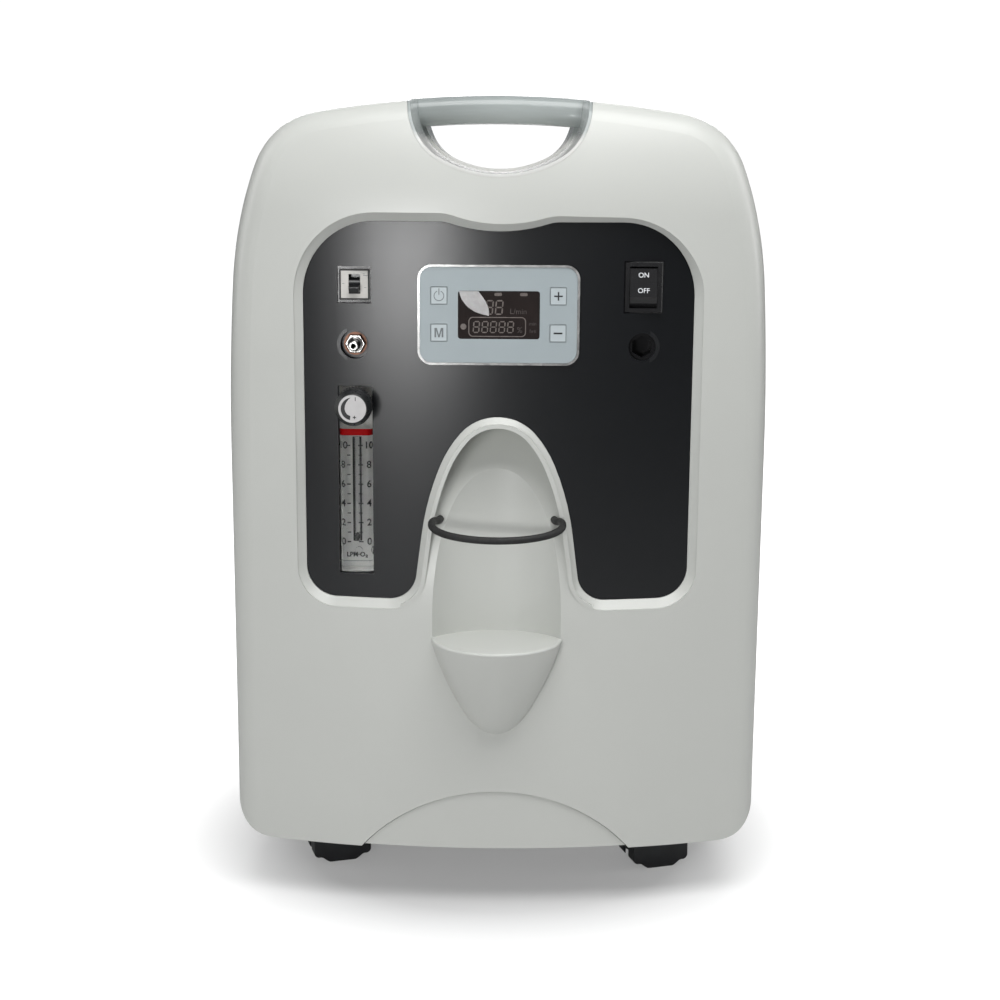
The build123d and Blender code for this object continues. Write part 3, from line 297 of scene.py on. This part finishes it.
# Near-white film colour: a painted reflection standing in for a glare on the display lens.
FILM_PAINTED_GLARE = finish_material(
    "lens_film_painted_glare", (0.97, 0.95, 0.95), 0.25, vary=0.1, rough_vary=0.08, patch_mm=6, grain_mm=2.5,
    grain=0.06,
)
DISC = finish_material(
    "knob_disc", (0.56, 0.55, 0.55), 0.4, vary=0.05, patch_mm=8, grain_mm=0.25, grain=0.1,
)
MIRROR = finish_material(
    "meter_reflector", (0.93, 0.92, 0.89), 0.35, vary=0.05, patch_mm=8, grain_mm=1.0, grain=0.06,
    stretch=(1, 1, 0.05),
)

SITES = ("front_left", "front_right", "rear_left", "rear_right")
FINISHES = {
    CASING: ("front_cover", "rear_cover", "kick_panel", "filter_door"),
    HANDLE_PAINTED_SHADE_LIGHT: ("carry_handle",),
    TRAY: ("base_tray",),
    PANEL: ("control_panel",),
    CHROME: ("display_frame",),
    OVERLAY: ("display_overlay",),
    LCD: ("display_lens",),
    BOARD: ("display_board", "main_board"),
    KEY: ("power_key", "mode_key", "plus_key", "minus_key"),
    LABEL: ("breaker_plate",),
    GLOSS_BLACK: ("breaker_body", "breaker_lever", "switch_frame", "switch_rocker", "power_inlet"),
    DEEP_BLACK: ("port_plug",),
    COPPER: ("outlet_washer",),
    NICKEL: ["outlet_nipple", "outlet_nut", "rear_screws", "foot_screws"]
    + ["caster_axle_" + s for s in SITES],
    CLEAR: ("flow_meter",),
    FLOAT: ("flow_float",),
    BRASS: ("flow_valve",),
    KNOB: ("flow_knob",),
    RUBBER: ("strap_beads", "compressor_mounts"),
    CASTER: ["caster_hood_" + s for s in SITES],
    WHEEL: [f"caster_wheel_{s}_{k}" for s in SITES for k in "ab"],
    FOAM: ("filter_foam",),
    ZINC: ("chassis_frame",),
    CAST: ("compressor_body", "compressor_heads", "valve_manifold"),
    TANK: ("sieve_tanks", "buffer_tank"),
    FAN: ("fan_frame", "fan_rotor"),
}
for material, names in FINISHES.items():
    for name in names:
        mesh = bpy.data.objects[name].data
        mesh.materials.clear()
        mesh.materials.append(material)


# ------------------------------------------------------------------ helpers for pieces

def front(name):
    """Depth in mm of a node's foremost face."""
    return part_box(name)[0][1] / MM


def add_piece(name, mesh, material, body):
    """Put a mesh in the scene as a piece that rides on a body."""
    piece = bpy.data.objects.new(name, mesh)
    scene.collection.objects.link(piece)
    mesh.materials.clear()
    mesh.materials.append(material)
    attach(piece, body)
    return piece


def mesh_from(name, build):
    """A mesh made by the function build(bm), with its normals made consistent."""
    bm = bmesh.new()
    build(bm)
    bmesh.ops.recalc_face_normals(bm, faces=bm.faces)
    mesh = bpy.data.meshes.new(name)
    bm.to_mesh(mesh)
    bm.free()
    return mesh


def add_slab(bm, loop, y, thickness):
    """A thin slab on a front-facing surface at depth y, from an outline of (x, z), in mm."""
    back = [bm.verts.new((x * MM, y * MM, z * MM)) for x, z in loop]
    face = [bm.verts.new((x * MM, (y - thickness) * MM, z * MM)) for x, z in loop]
    bm.faces.new(face)
    bm.faces.new(back[::-1])
    for i in range(len(loop)):
        j = (i + 1) % len(loop)
        bm.faces.new((back[i], back[j], face[j], face[i]))


def add_band(bm, outer, inner, y, thickness):
    """A flat ring between two outlines with the same number of points."""
    count = len(outer)
    rings = [
        [bm.verts.new((x * MM, depth * MM, z * MM)) for x, z in loop]
        for loop, depth in ((outer, y), (inner, y), (outer, y - thickness), (inner, y - thickness))
    ]
    for i in range(count):
        j = (i + 1) % count
        for a, b in ((2, 3), (1, 0), (0, 2), (3, 1)):
            bm.faces.new((rings[a][i], rings[a][j], rings[b][j], rings[b][i]))


def oblong(x, z, width, height, radius, steps=6):
    """A rectangle's outline with rounded corners."""
    points = []
    for quarter, (sx, sz) in enumerate(((1, 1), (-1, 1), (-1, -1), (1, -1))):
        for step in range(steps + 1):
            angle = math.radians(90 * (quarter + step / steps))
            points.append((
                x + sx * (width / 2 - radius) + radius * math.cos(angle),
                z + sz * (height / 2 - radius) + radius * math.sin(angle),
            ))
    return points


def disc(x, z, radius, steps=40):
    """A circle's outline."""
    return [
        (x + radius * math.cos(2 * math.pi * i / steps), z + radius * math.sin(2 * math.pi * i / steps))
        for i in range(steps)
    ]


def segment_digit(x, z, width, height, stroke, lean=0.08):
    """The seven bars of a numeral, each an outline with pointed ends."""
    bars = []
    half_w, half_h = width / 2, height / 2
    gap = stroke * 0.35

    def bar(x0, z0, x1, z1):
        length = math.hypot(x1 - x0, z1 - z0)
        ux, uz = (x1 - x0) / length, (z1 - z0) / length
        nx, nz = -uz * stroke / 2, ux * stroke / 2
        x0, z0, x1, z1 = x0 + ux * gap, z0 + uz * gap, x1 - ux * gap, z1 - uz * gap
        cut = stroke / 2
        outline = [
            (x0, z0), (x0 + ux * cut + nx, z0 + uz * cut + nz), (x1 - ux * cut + nx, z1 - uz * cut + nz),
            (x1, z1), (x1 - ux * cut - nx, z1 - uz * cut - nz), (x0 + ux * cut - nx, z0 + uz * cut - nz),
        ]
        bars.append([(x + px + lean * pz, z + pz) for px, pz in outline])

    for level in (-half_h, 0, half_h):
        bar(-half_w, level, half_w, level)
    for side in (-half_w, half_w):
        bar(side, -half_h, side, 0)
        bar(side, 0, side, half_h)
    return bars


CAPITAL_SHARE = 0.73


def text_mesh(text, height, bold=0.0):
    """Flat lettering centred on the origin in its own XY plane, with capitals height mm tall."""
    curve = bpy.data.curves.new("lettering", "FONT")
    curve.body = text
    curve.align_x = "CENTER"
    curve.align_y = "CENTER"
    curve.size = height * MM / CAPITAL_SHARE
    curve.offset = bold * MM
    curve.extrude = 0.02 * MM
    holder = bpy.data.objects.new("lettering", curve)
    scene.collection.objects.link(holder)
    bpy.context.view_layer.update()
    mesh = bpy.data.meshes.new_from_object(holder.evaluated_get(bpy.context.evaluated_depsgraph_get()))
    bpy.data.objects.remove(holder)
    bpy.data.curves.remove(curve)
    return mesh


UPRIGHT = Matrix.Rotation(math.radians(90), 4, "X")


def lettering(name, entries, material, body, shape=None):
    """One piece from several texts: each entry is (text, height, x, y, z, bold), in mm."""
    joined = bmesh.new()
    for text, height, x, y, z, bold in entries:
        mesh = text_mesh(text, height, bold)
        mesh.transform(Matrix.Translation(Vector((x, y, z)) * MM) @ UPRIGHT)
        joined.from_mesh(mesh)
        bpy.data.meshes.remove(mesh)
    if shape:
        for vertex in joined.verts:
            vertex.co = shape(vertex.co)
    mesh = bpy.data.meshes.new(name)
    joined.to_mesh(mesh)
    joined.free()
    return add_piece(name, mesh, material, body)


INK = 0.06


def print_slabs(name, loops, y, material, body, thickness=INK):
    """One piece of thin printed shapes at depth y."""
    def build(bm):
        for loop in loops:
            add_slab(bm, loop, y, thickness)
    return add_piece(name, mesh_from(name, build), material, body)


def line_round(name, centre, size, stroke, y, material, body):
    """A printed line that runs round a rounded rectangle, just inside its edge."""
    width, height, radius = size

    def build(bm):
        inner = oblong(*centre, width - 2 * stroke, height - 2 * stroke, max(radius - stroke, 0.1))
        add_band(bm, oblong(*centre, width, height, radius), inner, y, INK)
    return add_piece(name, mesh_from(name, build), material, body)


# ------------------------------------------------------------------ display

LENS_X, LENS_Z, LENS_Y = 0.2, 440.1, front("display_lens")

digits = segment_digit(LENS_X + 0.2, LENS_Z + 5.3, 4.6, 9.4, 0.95)
digits += segment_digit(LENS_X - 6.6, LENS_Z + 5.3, 4.6, 9.4, 0.95)
for column in (-15.7, -9.7, -3.8, 2.2, 8.2):
    digits += segment_digit(LENS_X + column, LENS_Z - 8.4, 3.9, 7.6, 0.85)
print_slabs("display_digits", digits, LENS_Y, SEGMENT, "cabinet")

marks = [oblong(LENS_X + x, LENS_Z + 14.4, 5.4, 2.2, 1.05) for x in (-0.6, 17.3)]
marks.append(disc(LENS_X - 24.8, LENS_Z - 8.2, 2.1))
print_slabs("display_pills", marks, LENS_Y, SEGMENT, "cabinet")


def build_frame_line(bm):
    middle = (LENS_X - 1.1, LENS_Z - 8.3)
    add_band(bm, oblong(*middle, 40.4, 14.0, 3.2), oblong(*middle, 39.0, 12.6, 2.5), LENS_Y, INK)


frame_line = mesh_from("display_frame_line", build_frame_line)
add_piece("display_frame_line", frame_line, SEGMENT, "cabinet")
lettering(
    "display_units",
    [
        ("L/min", 3.9, LENS_X + 13.6, LENS_Y, LENS_Z + 2.4, 0.0),
        ("%", 4.2, LENS_X + 14.6, LENS_Y, LENS_Z - 10.6, 0.0),
        ("min", 2.6, LENS_X + 23.8, LENS_Y, LENS_Z - 6.0, 0.0),
        ("hrs", 2.6, LENS_X + 23.8, LENS_Y, LENS_Z - 11.2, 0.0),
    ],
    SEGMENT_FAINT, "cabinet",
)


# A corner of protective film left on the lens, lifted a little along its middle; its near-white colour is a
# painted reflection, standing in for the glare on the lens.
def build_film(bm):
    rows, columns = 14, 8
    left = [(-28.0, 16.6), (-26.2, 11.0), (-22.5, 6.0), (-17.0, 2.2), (-11.5, 0.4), (-7.2, -0.6)]
    right = [(-14.4, 16.6), (-11.4, 12.6), (-8.8, 8.6), (-7.3, 5.0), (-6.9, 2.0), (-7.0, -0.6)]

    def along(points, t):
        step = t * (len(points) - 1)
        i = min(int(step), len(points) - 2)
        f = step - i
        return [points[i][k] * (1 - f) + points[i + 1][k] * f for k in (0, 1)]

    grid = []
    for row in range(rows + 1):
        a, b = along(left, row / rows), along(right, row / rows)
        line = []
        for column in range(columns + 1):
            s = column / columns
            x, z = (a[k] * (1 - s) + b[k] * s for k in (0, 1))
            lift = 0.05 + 0.25 * math.sin(math.pi * s) * math.sin(math.pi * (0.15 + 0.8 * row / rows))
            line.append(bm.verts.new(((LENS_X + x) * MM, (LENS_Y - lift) * MM, (LENS_Z + z) * MM)))
        grid.append(line)
    for row in range(rows):
        for column in range(columns):
            near, far = grid[row], grid[row + 1]
            bm.faces.new((near[column], near[column + 1], far[column + 1], far[column]))
    bmesh.ops.solidify(bm, geom=list(bm.faces), thickness=0.04 * MM)


add_piece("lens_film_painted_glare", mesh_from("lens_film_painted_glare", build_film), FILM_PAINTED_GLARE, "cabinet")

KEY_EDGE, KEY_LINE = (11.4, 12.1, 0.6), 0.4
KEY_POINTS = {
    "power_key": (-41.7, 453.5),
    "mode_key": (-41.7, 427.6),
    "plus_key": (41.7, 453.5),
    "minus_key": (41.7, 427.6),
}


def key_glyph(name, loops, material=PRINT_BLACK):
    """The printed sign of a key."""
    print_slabs(name + "_sign", loops, front(name), material, name)


def arc_loop(x, z, radius, stroke, start, end, steps=36):
    """A thick arc's outline, between two angles in degrees."""
    outer, inner = [], []
    for i in range(steps + 1):
        angle = math.radians(start + (end - start) * i / steps)
        for points, r in ((outer, radius + stroke / 2), (inner, radius - stroke / 2)):
            points.append((x + r * math.cos(angle), z + r * math.sin(angle)))
    return outer + inner[::-1]


x, z = KEY_POINTS["power_key"]
key_glyph(
    "power_key", [arc_loop(x, z - 0.2, 3.4, 0.55, 112, 428), oblong(x, z + 2.7, 0.6, 4.6, 0.29)], PRINT_GREY
)
x, z = KEY_POINTS["plus_key"]
PLUS_HALF, STROKE_HALF = 3, 0.5
plus = [
    (-PLUS_HALF, -STROKE_HALF), (-STROKE_HALF, -STROKE_HALF), (-STROKE_HALF, -PLUS_HALF),
    (STROKE_HALF, -PLUS_HALF), (STROKE_HALF, -STROKE_HALF), (PLUS_HALF, -STROKE_HALF),
    (PLUS_HALF, STROKE_HALF), (STROKE_HALF, STROKE_HALF), (STROKE_HALF, PLUS_HALF),
    (-STROKE_HALF, PLUS_HALF), (-STROKE_HALF, STROKE_HALF), (-PLUS_HALF, STROKE_HALF),
]
key_glyph("plus_key", [[(x + dx, z + dz) for dx, dz in plus]])
x, z = KEY_POINTS["minus_key"]
key_glyph("minus_key", [oblong(x, z, 6.2, 1.2, 0.1)])
x, z = KEY_POINTS["mode_key"]
letter_m = [
    (-3.1, -3.3), (-1.9, -3.3), (-1.9, 1.5), (-0.55, -3.3), (0.55, -3.3), (1.9, 1.5), (1.9, -3.3),
    (3.1, -3.3), (3.1, 3.3), (1.4, 3.3), (0, -1.6), (-1.4, 3.3), (-3.1, 3.3),
]
key_glyph("mode_key", [[(x + dx, z + dz) for dx, dz in letter_m]], PRINT_GREY)

for name, centre in KEY_POINTS.items():
    line_round(name + "_edge", centre, KEY_EDGE, KEY_LINE, front(name), PRINT_EDGE, name)

# ------------------------------------------------------------------ flow meter

METER_LOW, METER_HIGH = (Vector(corner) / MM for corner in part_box("flow_meter"))
METER_HALF, METER_CORNER = 11.9, 4.5
METER_Y = METER_LOW.y
TICK_ZERO, TICK_TEN = 274.3, 345.0


def on_meter(co):
    """Wrap a point drawn on the meter's flat front round its rounded corners."""
    x, y, z = co / MM
    across = x + COLUMN_X
    flat = METER_HALF - METER_CORNER
    side = math.copysign(1, across)
    if abs(across) > flat:
        turn = (abs(across) - flat) / METER_CORNER
        radius = METER_CORNER + (METER_Y - y)
        x = side * (flat + radius * math.sin(turn)) - COLUMN_X
        y = METER_Y + METER_CORNER - radius * math.cos(turn)
    return Vector((x, y, z)) * MM


def wrapped(name, strips, material):
    """Thin strips (x0, x1, z0, z1) wrapped round the meter's front, cut into short steps."""
    def build(bm):
        for x0, x1, z0, z1 in strips:
            steps = max(1, int((x1 - x0) / 0.8))
            edges = [x0 + (x1 - x0) * i / steps for i in range(steps + 1)]
            loop = [(x - COLUMN_X, z0) for x in edges] + [(x - COLUMN_X, z1) for x in reversed(edges)]
            count = len(edges)
            back = [bm.verts.new((px * MM, METER_Y * MM, pz * MM)) for px, pz in loop]
            face = [bm.verts.new((px * MM, (METER_Y - INK) * MM, pz * MM)) for px, pz in loop]
            for side in (back, face):
                for i in range(count - 1):
                    bm.faces.new((side[i], side[i + 1], side[-2 - i], side[-1 - i]))
            for i in range(len(loop)):
                j = (i + 1) % len(loop)
                bm.faces.new((back[i], back[j], face[j], face[i]))
        for vertex in bm.verts:
            vertex.co = on_meter(vertex.co)
    return add_piece(name, mesh_from(name, build), material, "cabinet")


ticks, numerals = [], []
pitch = (TICK_TEN - TICK_ZERO) / 10
for step in range(11):
    z = TICK_ZERO + pitch * step
    major = step % 2 == 0
    half = 0.45 if major else 0.35
    ticks.append((-6.9 if major else -6.6, -4.2, z - half, z + half))
    ticks.append((1.4 if major else 1.6, 4.8 if major else 4.3, z - half, z + half))
    if major:
        numerals.append((str(step), 5.2, -9.6 - COLUMN_X, METER_Y - 0.03, z, 0.10))
        numerals.append((str(step), 5.2, 9.2 - COLUMN_X, METER_Y - 0.03, z, 0.16))
wrapped("meter_ticks", ticks, PRINT_BLACK)
wrapped("meter_red_band", [(-13.5, 13.5, 352.3, 357.0)], PRINT_RED)
wrapped("meter_base_line", [(-12.0, 12.0, 260.0, 260.35)], PRINT_GREY)
lettering("meter_numerals", numerals, PRINT_BLACK, "cabinet", on_meter)
lettering(
    "meter_units", [("LPM O₂", 3.4, -COLUMN_X + 0.2, METER_Y - 0.03, 264.8, 0.15)],
    PRINT_BLACK, "cabinet", on_meter,
)


def build_reflector(bm):
    middle, height = (METER_LOW.z + METER_HIGH.z) / 2, METER_HIGH.z - METER_LOW.z
    loop = oblong(-COLUMN_X, middle, 2 * METER_HALF, height, 0.5)
    add_slab(bm, loop, METER_HIGH.y + 1.0, 0.8)


add_piece("meter_reflector", mesh_from("meter_reflector", build_reflector), MIRROR, "cabinet")

# Knob face: a bright disc with a dark crescent that widens downwards.
KNOB_Z, KNOB_Y = 375.7, front("flow_knob")
print_slabs("knob_disc", [disc(-COLUMN_X, KNOB_Z, 9.7, 64)], KNOB_Y, DISC, "flow_knob", 0.25)
CRESCENT_RADIUS = 8.0
crescent = []
for i in range(25):
    angle = math.radians(98 + (258 - 98) * i / 24)
    crescent.append((CRESCENT_RADIUS * math.cos(angle), CRESCENT_RADIUS * math.sin(angle)))
crescent += [(-1.3, -5.0), (-3.4, -4.0), (-4.7, -2.3), (-5.3, 0.0), (-5.0, 2.4), (-4.0, 4.7), (-2.5, 6.7)]
crescent = [(x - COLUMN_X, z + KNOB_Z) for x, z in crescent]
signs = [
    crescent,
    oblong(-COLUMN_X + 2.2, KNOB_Z + 6.9, 0.5, 2.7, 0.2),
    oblong(-COLUMN_X + 1.5, KNOB_Z - 6.0, 2.4, 0.6, 0.2),
    oblong(-COLUMN_X + 1.5, KNOB_Z - 6.0, 0.6, 2.4, 0.2),
]
print_slabs("knob_signs", signs, KNOB_Y - 0.25, PRINT_BLACK, "flow_knob")

# ------------------------------------------------------------------ switches

ROCKER_Y, ROCKER_Z = -133.35, 459.5
ROCKER_TOP, ROCKER_LIP = (4.2, 13.2), (7.4, -6.6)
rise = ROCKER_TOP[1] - ROCKER_LIP[1]
lean = math.atan2(ROCKER_LIP[0] - ROCKER_TOP[0], rise)


def on_rocker(down):
    """A frame on the rocker's face, a share of the way down from its top edge."""
    out = ROCKER_TOP[0] + (ROCKER_LIP[0] - ROCKER_TOP[0]) * down
    up = ROCKER_TOP[1] - rise * down
    place = Vector((COLUMN_X, ROCKER_Y - out - 0.02, ROCKER_Z + up)) * MM
    return Matrix.Translation(place) @ Matrix.Rotation(math.radians(90) - lean, 4, "X")


joined = bmesh.new()
for text, down in (("ON", 0.24), ("OFF", 0.78)):
    mesh = text_mesh(text, 3.5, 0.04)
    mesh.transform(on_rocker(down))
    joined.from_mesh(mesh)
rocker_mesh = bpy.data.meshes.new("rocker_words")
joined.to_mesh(rocker_mesh)
joined.free()
add_piece("rocker_words", rocker_mesh, PRINT_WHITE, "switch_rocker")

BREAKER_Z, BREAKER_Y = 460.0, front("breaker_plate")
breaker_marks = [
    oblong(-COLUMN_X + 7.9, BREAKER_Z + 6.2, 3.4, 0.35, 0.1),
    oblong(-COLUMN_X + 6.6, BREAKER_Z + 7.4, 1.4, 0.35, 0.1),
    oblong(-COLUMN_X + 7.6, BREAKER_Z - 2.2, 1.5, 0.3, 0.1),
    oblong(-COLUMN_X - 7.8, BREAKER_Z + 0.6, 1.6, 0.3, 0.1),
]
print_slabs("breaker_marks", breaker_marks, BREAKER_Y, PRINT_GREY, "cabinet", 0.04)
# A black line just inside the breaker plate's edge: a painted shadow standing in for the shaded gap round
# the recessed plate.
line_round(
    "breaker_painted_gap_shadow", (-COLUMN_X, BREAKER_Z), (21.3, 21.6, 0.4), 1.2, BREAKER_Y, PRINT_BLACK,
    "cabinet",
)

# ------------------------------------------------------------------ bottle strap

FRONT_Y = -152.5
strap_half = [
    (41.0, FRONT_Y + 17.5, 293.0),
    (41.0, FRONT_Y + 4.0, 293.0),
    (46.0, FRONT_Y - 5.5, 296.0),
    (46.5, FRONT_Y - 16.5, 293.0),
    (38.0, FRONT_Y - 26.5, 290.4),
    (25.0, FRONT_Y - 33.2, 289.0),
    (9.0, FRONT_Y - 36.7, 288.2),
]
strap_points = strap_half + [(-x, y, z) for x, y, z in reversed(strap_half)]
strap_curve = bpy.data.curves.new("strap_cord", "CURVE")
strap_curve.dimensions = "3D"
strap_curve.resolution_u = 12
strap_curve.bevel_depth = 2.6 * MM
strap_curve.bevel_resolution = 6
strap_curve.use_fill_caps = True
spline = strap_curve.splines.new("NURBS")
spline.points.add(len(strap_points) - 1)
for point, (x, y, z) in zip(spline.points, strap_points):
    point.co = (x * MM, y * MM, z * MM, 1)
spline.order_u = 3
spline.use_endpoint_u = True
strap = bpy.data.objects.new("strap_cord", strap_curve)
scene.collection.objects.link(strap)
strap_curve.materials.append(RUBBER)
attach(strap, "cabinet")
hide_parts("bottle_strap")

# ------------------------------------------------------------------ floor, lights and camera

# The floor's glow near the object, kept low there as a painted shadow round the object, and away from it,
# and where it starts and stops growing, in m.
FLOOR_GLOW_IN_PAINTED_SHADOW, FLOOR_GLOW_FAR = 0.22, 1.1
GLOW_START, GLOW_STOP = 0.16, 0.36
FLOOR_HALF = 9
SKY = 0.12
floor_mesh = bpy.data.meshes.new("floor")
corners = [(x * FLOOR_HALF, y * FLOOR_HALF, 0) for x, y in ((-1, -1), (1, -1), (1, 1), (-1, 1))]
floor_mesh.from_pydata(corners, [], [(0, 1, 2, 3)])
floor = bpy.data.objects.new("floor", floor_mesh)
scene.collection.objects.link(floor)
floor_material, nodes, links, shader, place = new_material("floor_white_painted_shadow")
shader.inputs["Roughness"].default_value = 0.8
shader.inputs["Specular IOR Level"].default_value = 0.1
tone = nodes.new("ShaderNodeMix")
tone.data_type = "RGBA"
tone.inputs["A"].default_value = (0.58, 0.58, 0.58, 1)
tone.inputs["B"].default_value = (0.62, 0.62, 0.62, 1)
links.new(noise(nodes, links, place, 400, 2.0), tone.inputs["Factor"])
links.new(tone.outputs["Result"], shader.inputs["Base Color"])
# The floor glows more the further it is from the object, so it runs into the white behind it; the weaker
# glow near the object is a painted shadow round it.
distance = nodes.new("ShaderNodeVectorMath")
distance.operation = "LENGTH"
links.new(place, distance.inputs[0])
glow = nodes.new("ShaderNodeMapRange")
glow.inputs["From Min"].default_value = GLOW_START
glow.inputs["From Max"].default_value = GLOW_STOP
glow.inputs["To Min"].default_value = FLOOR_GLOW_IN_PAINTED_SHADOW
glow.inputs["To Max"].default_value = FLOOR_GLOW_FAR
links.new(distance.outputs["Value"], glow.inputs["Value"])
seen = nodes.new("ShaderNodeLightPath")
shown = nodes.new("ShaderNodeMath")
shown.operation = "MULTIPLY"
links.new(glow.outputs["Result"], shown.inputs[0])
links.new(seen.outputs["Is Camera Ray"], shown.inputs[1])
shader.inputs["Emission Color"].default_value = (1, 1, 1, 1)
links.new(shown.outputs["Value"], shader.inputs["Emission Strength"])
floor_mesh.materials.append(floor_material)

world = bpy.data.worlds.new("studio")
scene.world = world
world.use_nodes = True
nodes, links = world.node_tree.nodes, world.node_tree.links
background = nodes["Background"]
background.inputs["Color"].default_value = (0.95, 0.97, 1.0, 1)
background.inputs["Strength"].default_value = SKY
backdrop = nodes.new("ShaderNodeBackground")
backdrop.inputs["Color"].default_value = (1, 1, 1, 1)
backdrop.inputs["Strength"].default_value = 1.05
path = nodes.new("ShaderNodeLightPath")
choice = nodes.new("ShaderNodeMixShader")
links.new(path.outputs["Is Camera Ray"], choice.inputs["Fac"])
links.new(background.outputs["Background"], choice.inputs[1])
links.new(backdrop.outputs["Background"], choice.inputs[2])
links.new(choice.outputs["Shader"], nodes["World Output"].inputs["Surface"])


def softbox(name, place, size, power, target):
    """A rectangular light aimed at a point."""
    light = bpy.data.lights.new(name, "AREA")
    light.shape = "RECTANGLE"
    light.size, light.size_y = size
    light.energy = power
    holder = bpy.data.objects.new(name, light)
    holder.location = place
    aim = Vector(target) - Vector(place)
    holder.rotation_euler = aim.to_track_quat("-Z", "Y").to_euler()
    scene.collection.objects.link(holder)


LIGHTS = (
    ("key_left", (-0.45, -1.55, 0.40), (0.45, 0.16), 6.0, (-0.07, -0.14, 0.47)),
    ("front", (-0.2, -2.2, 0.80), (2.2, 1.0), 1.5, (0, 0, 0.40)),
    ("overhead", (0.16, -0.60, 1.45), (1.2, 0.8), 15.0, (0, 0, 0.40)),
    ("side_left", (-1.5, 0.10, 0.90), (0.5, 1.2), 4.0, (0, 0, 0.40)),
    ("side_right", (1.5, 0.10, 0.90), (0.5, 1.2), 5.5, (0, 0, 0.40)),
    ("back", (0.0, 2.00, 1.30), (1.6, 0.8), 22.0, (0, 0, 0.40)),
)
for name, place, size, power, target in LIGHTS:
    softbox(name, place, size, power, target)

camera_data = bpy.data.cameras.new("photo_camera")
camera_data.sensor_width = 36.0
camera_data.lens = 62.08
camera = bpy.data.objects.new("photo_camera", camera_data)
pitch, roll = math.radians(90 - 11.32), math.radians(0.4)
turned = Matrix.Rotation(pitch, 4, "X") @ Matrix.Rotation(roll, 4, "Z")
camera.matrix_world = Matrix.Translation((0.0019, -1.3525, 0.550)) @ turned
scene.collection.objects.link(camera)
scene.camera = camera
scene.view_settings.view_transform = "Standard"
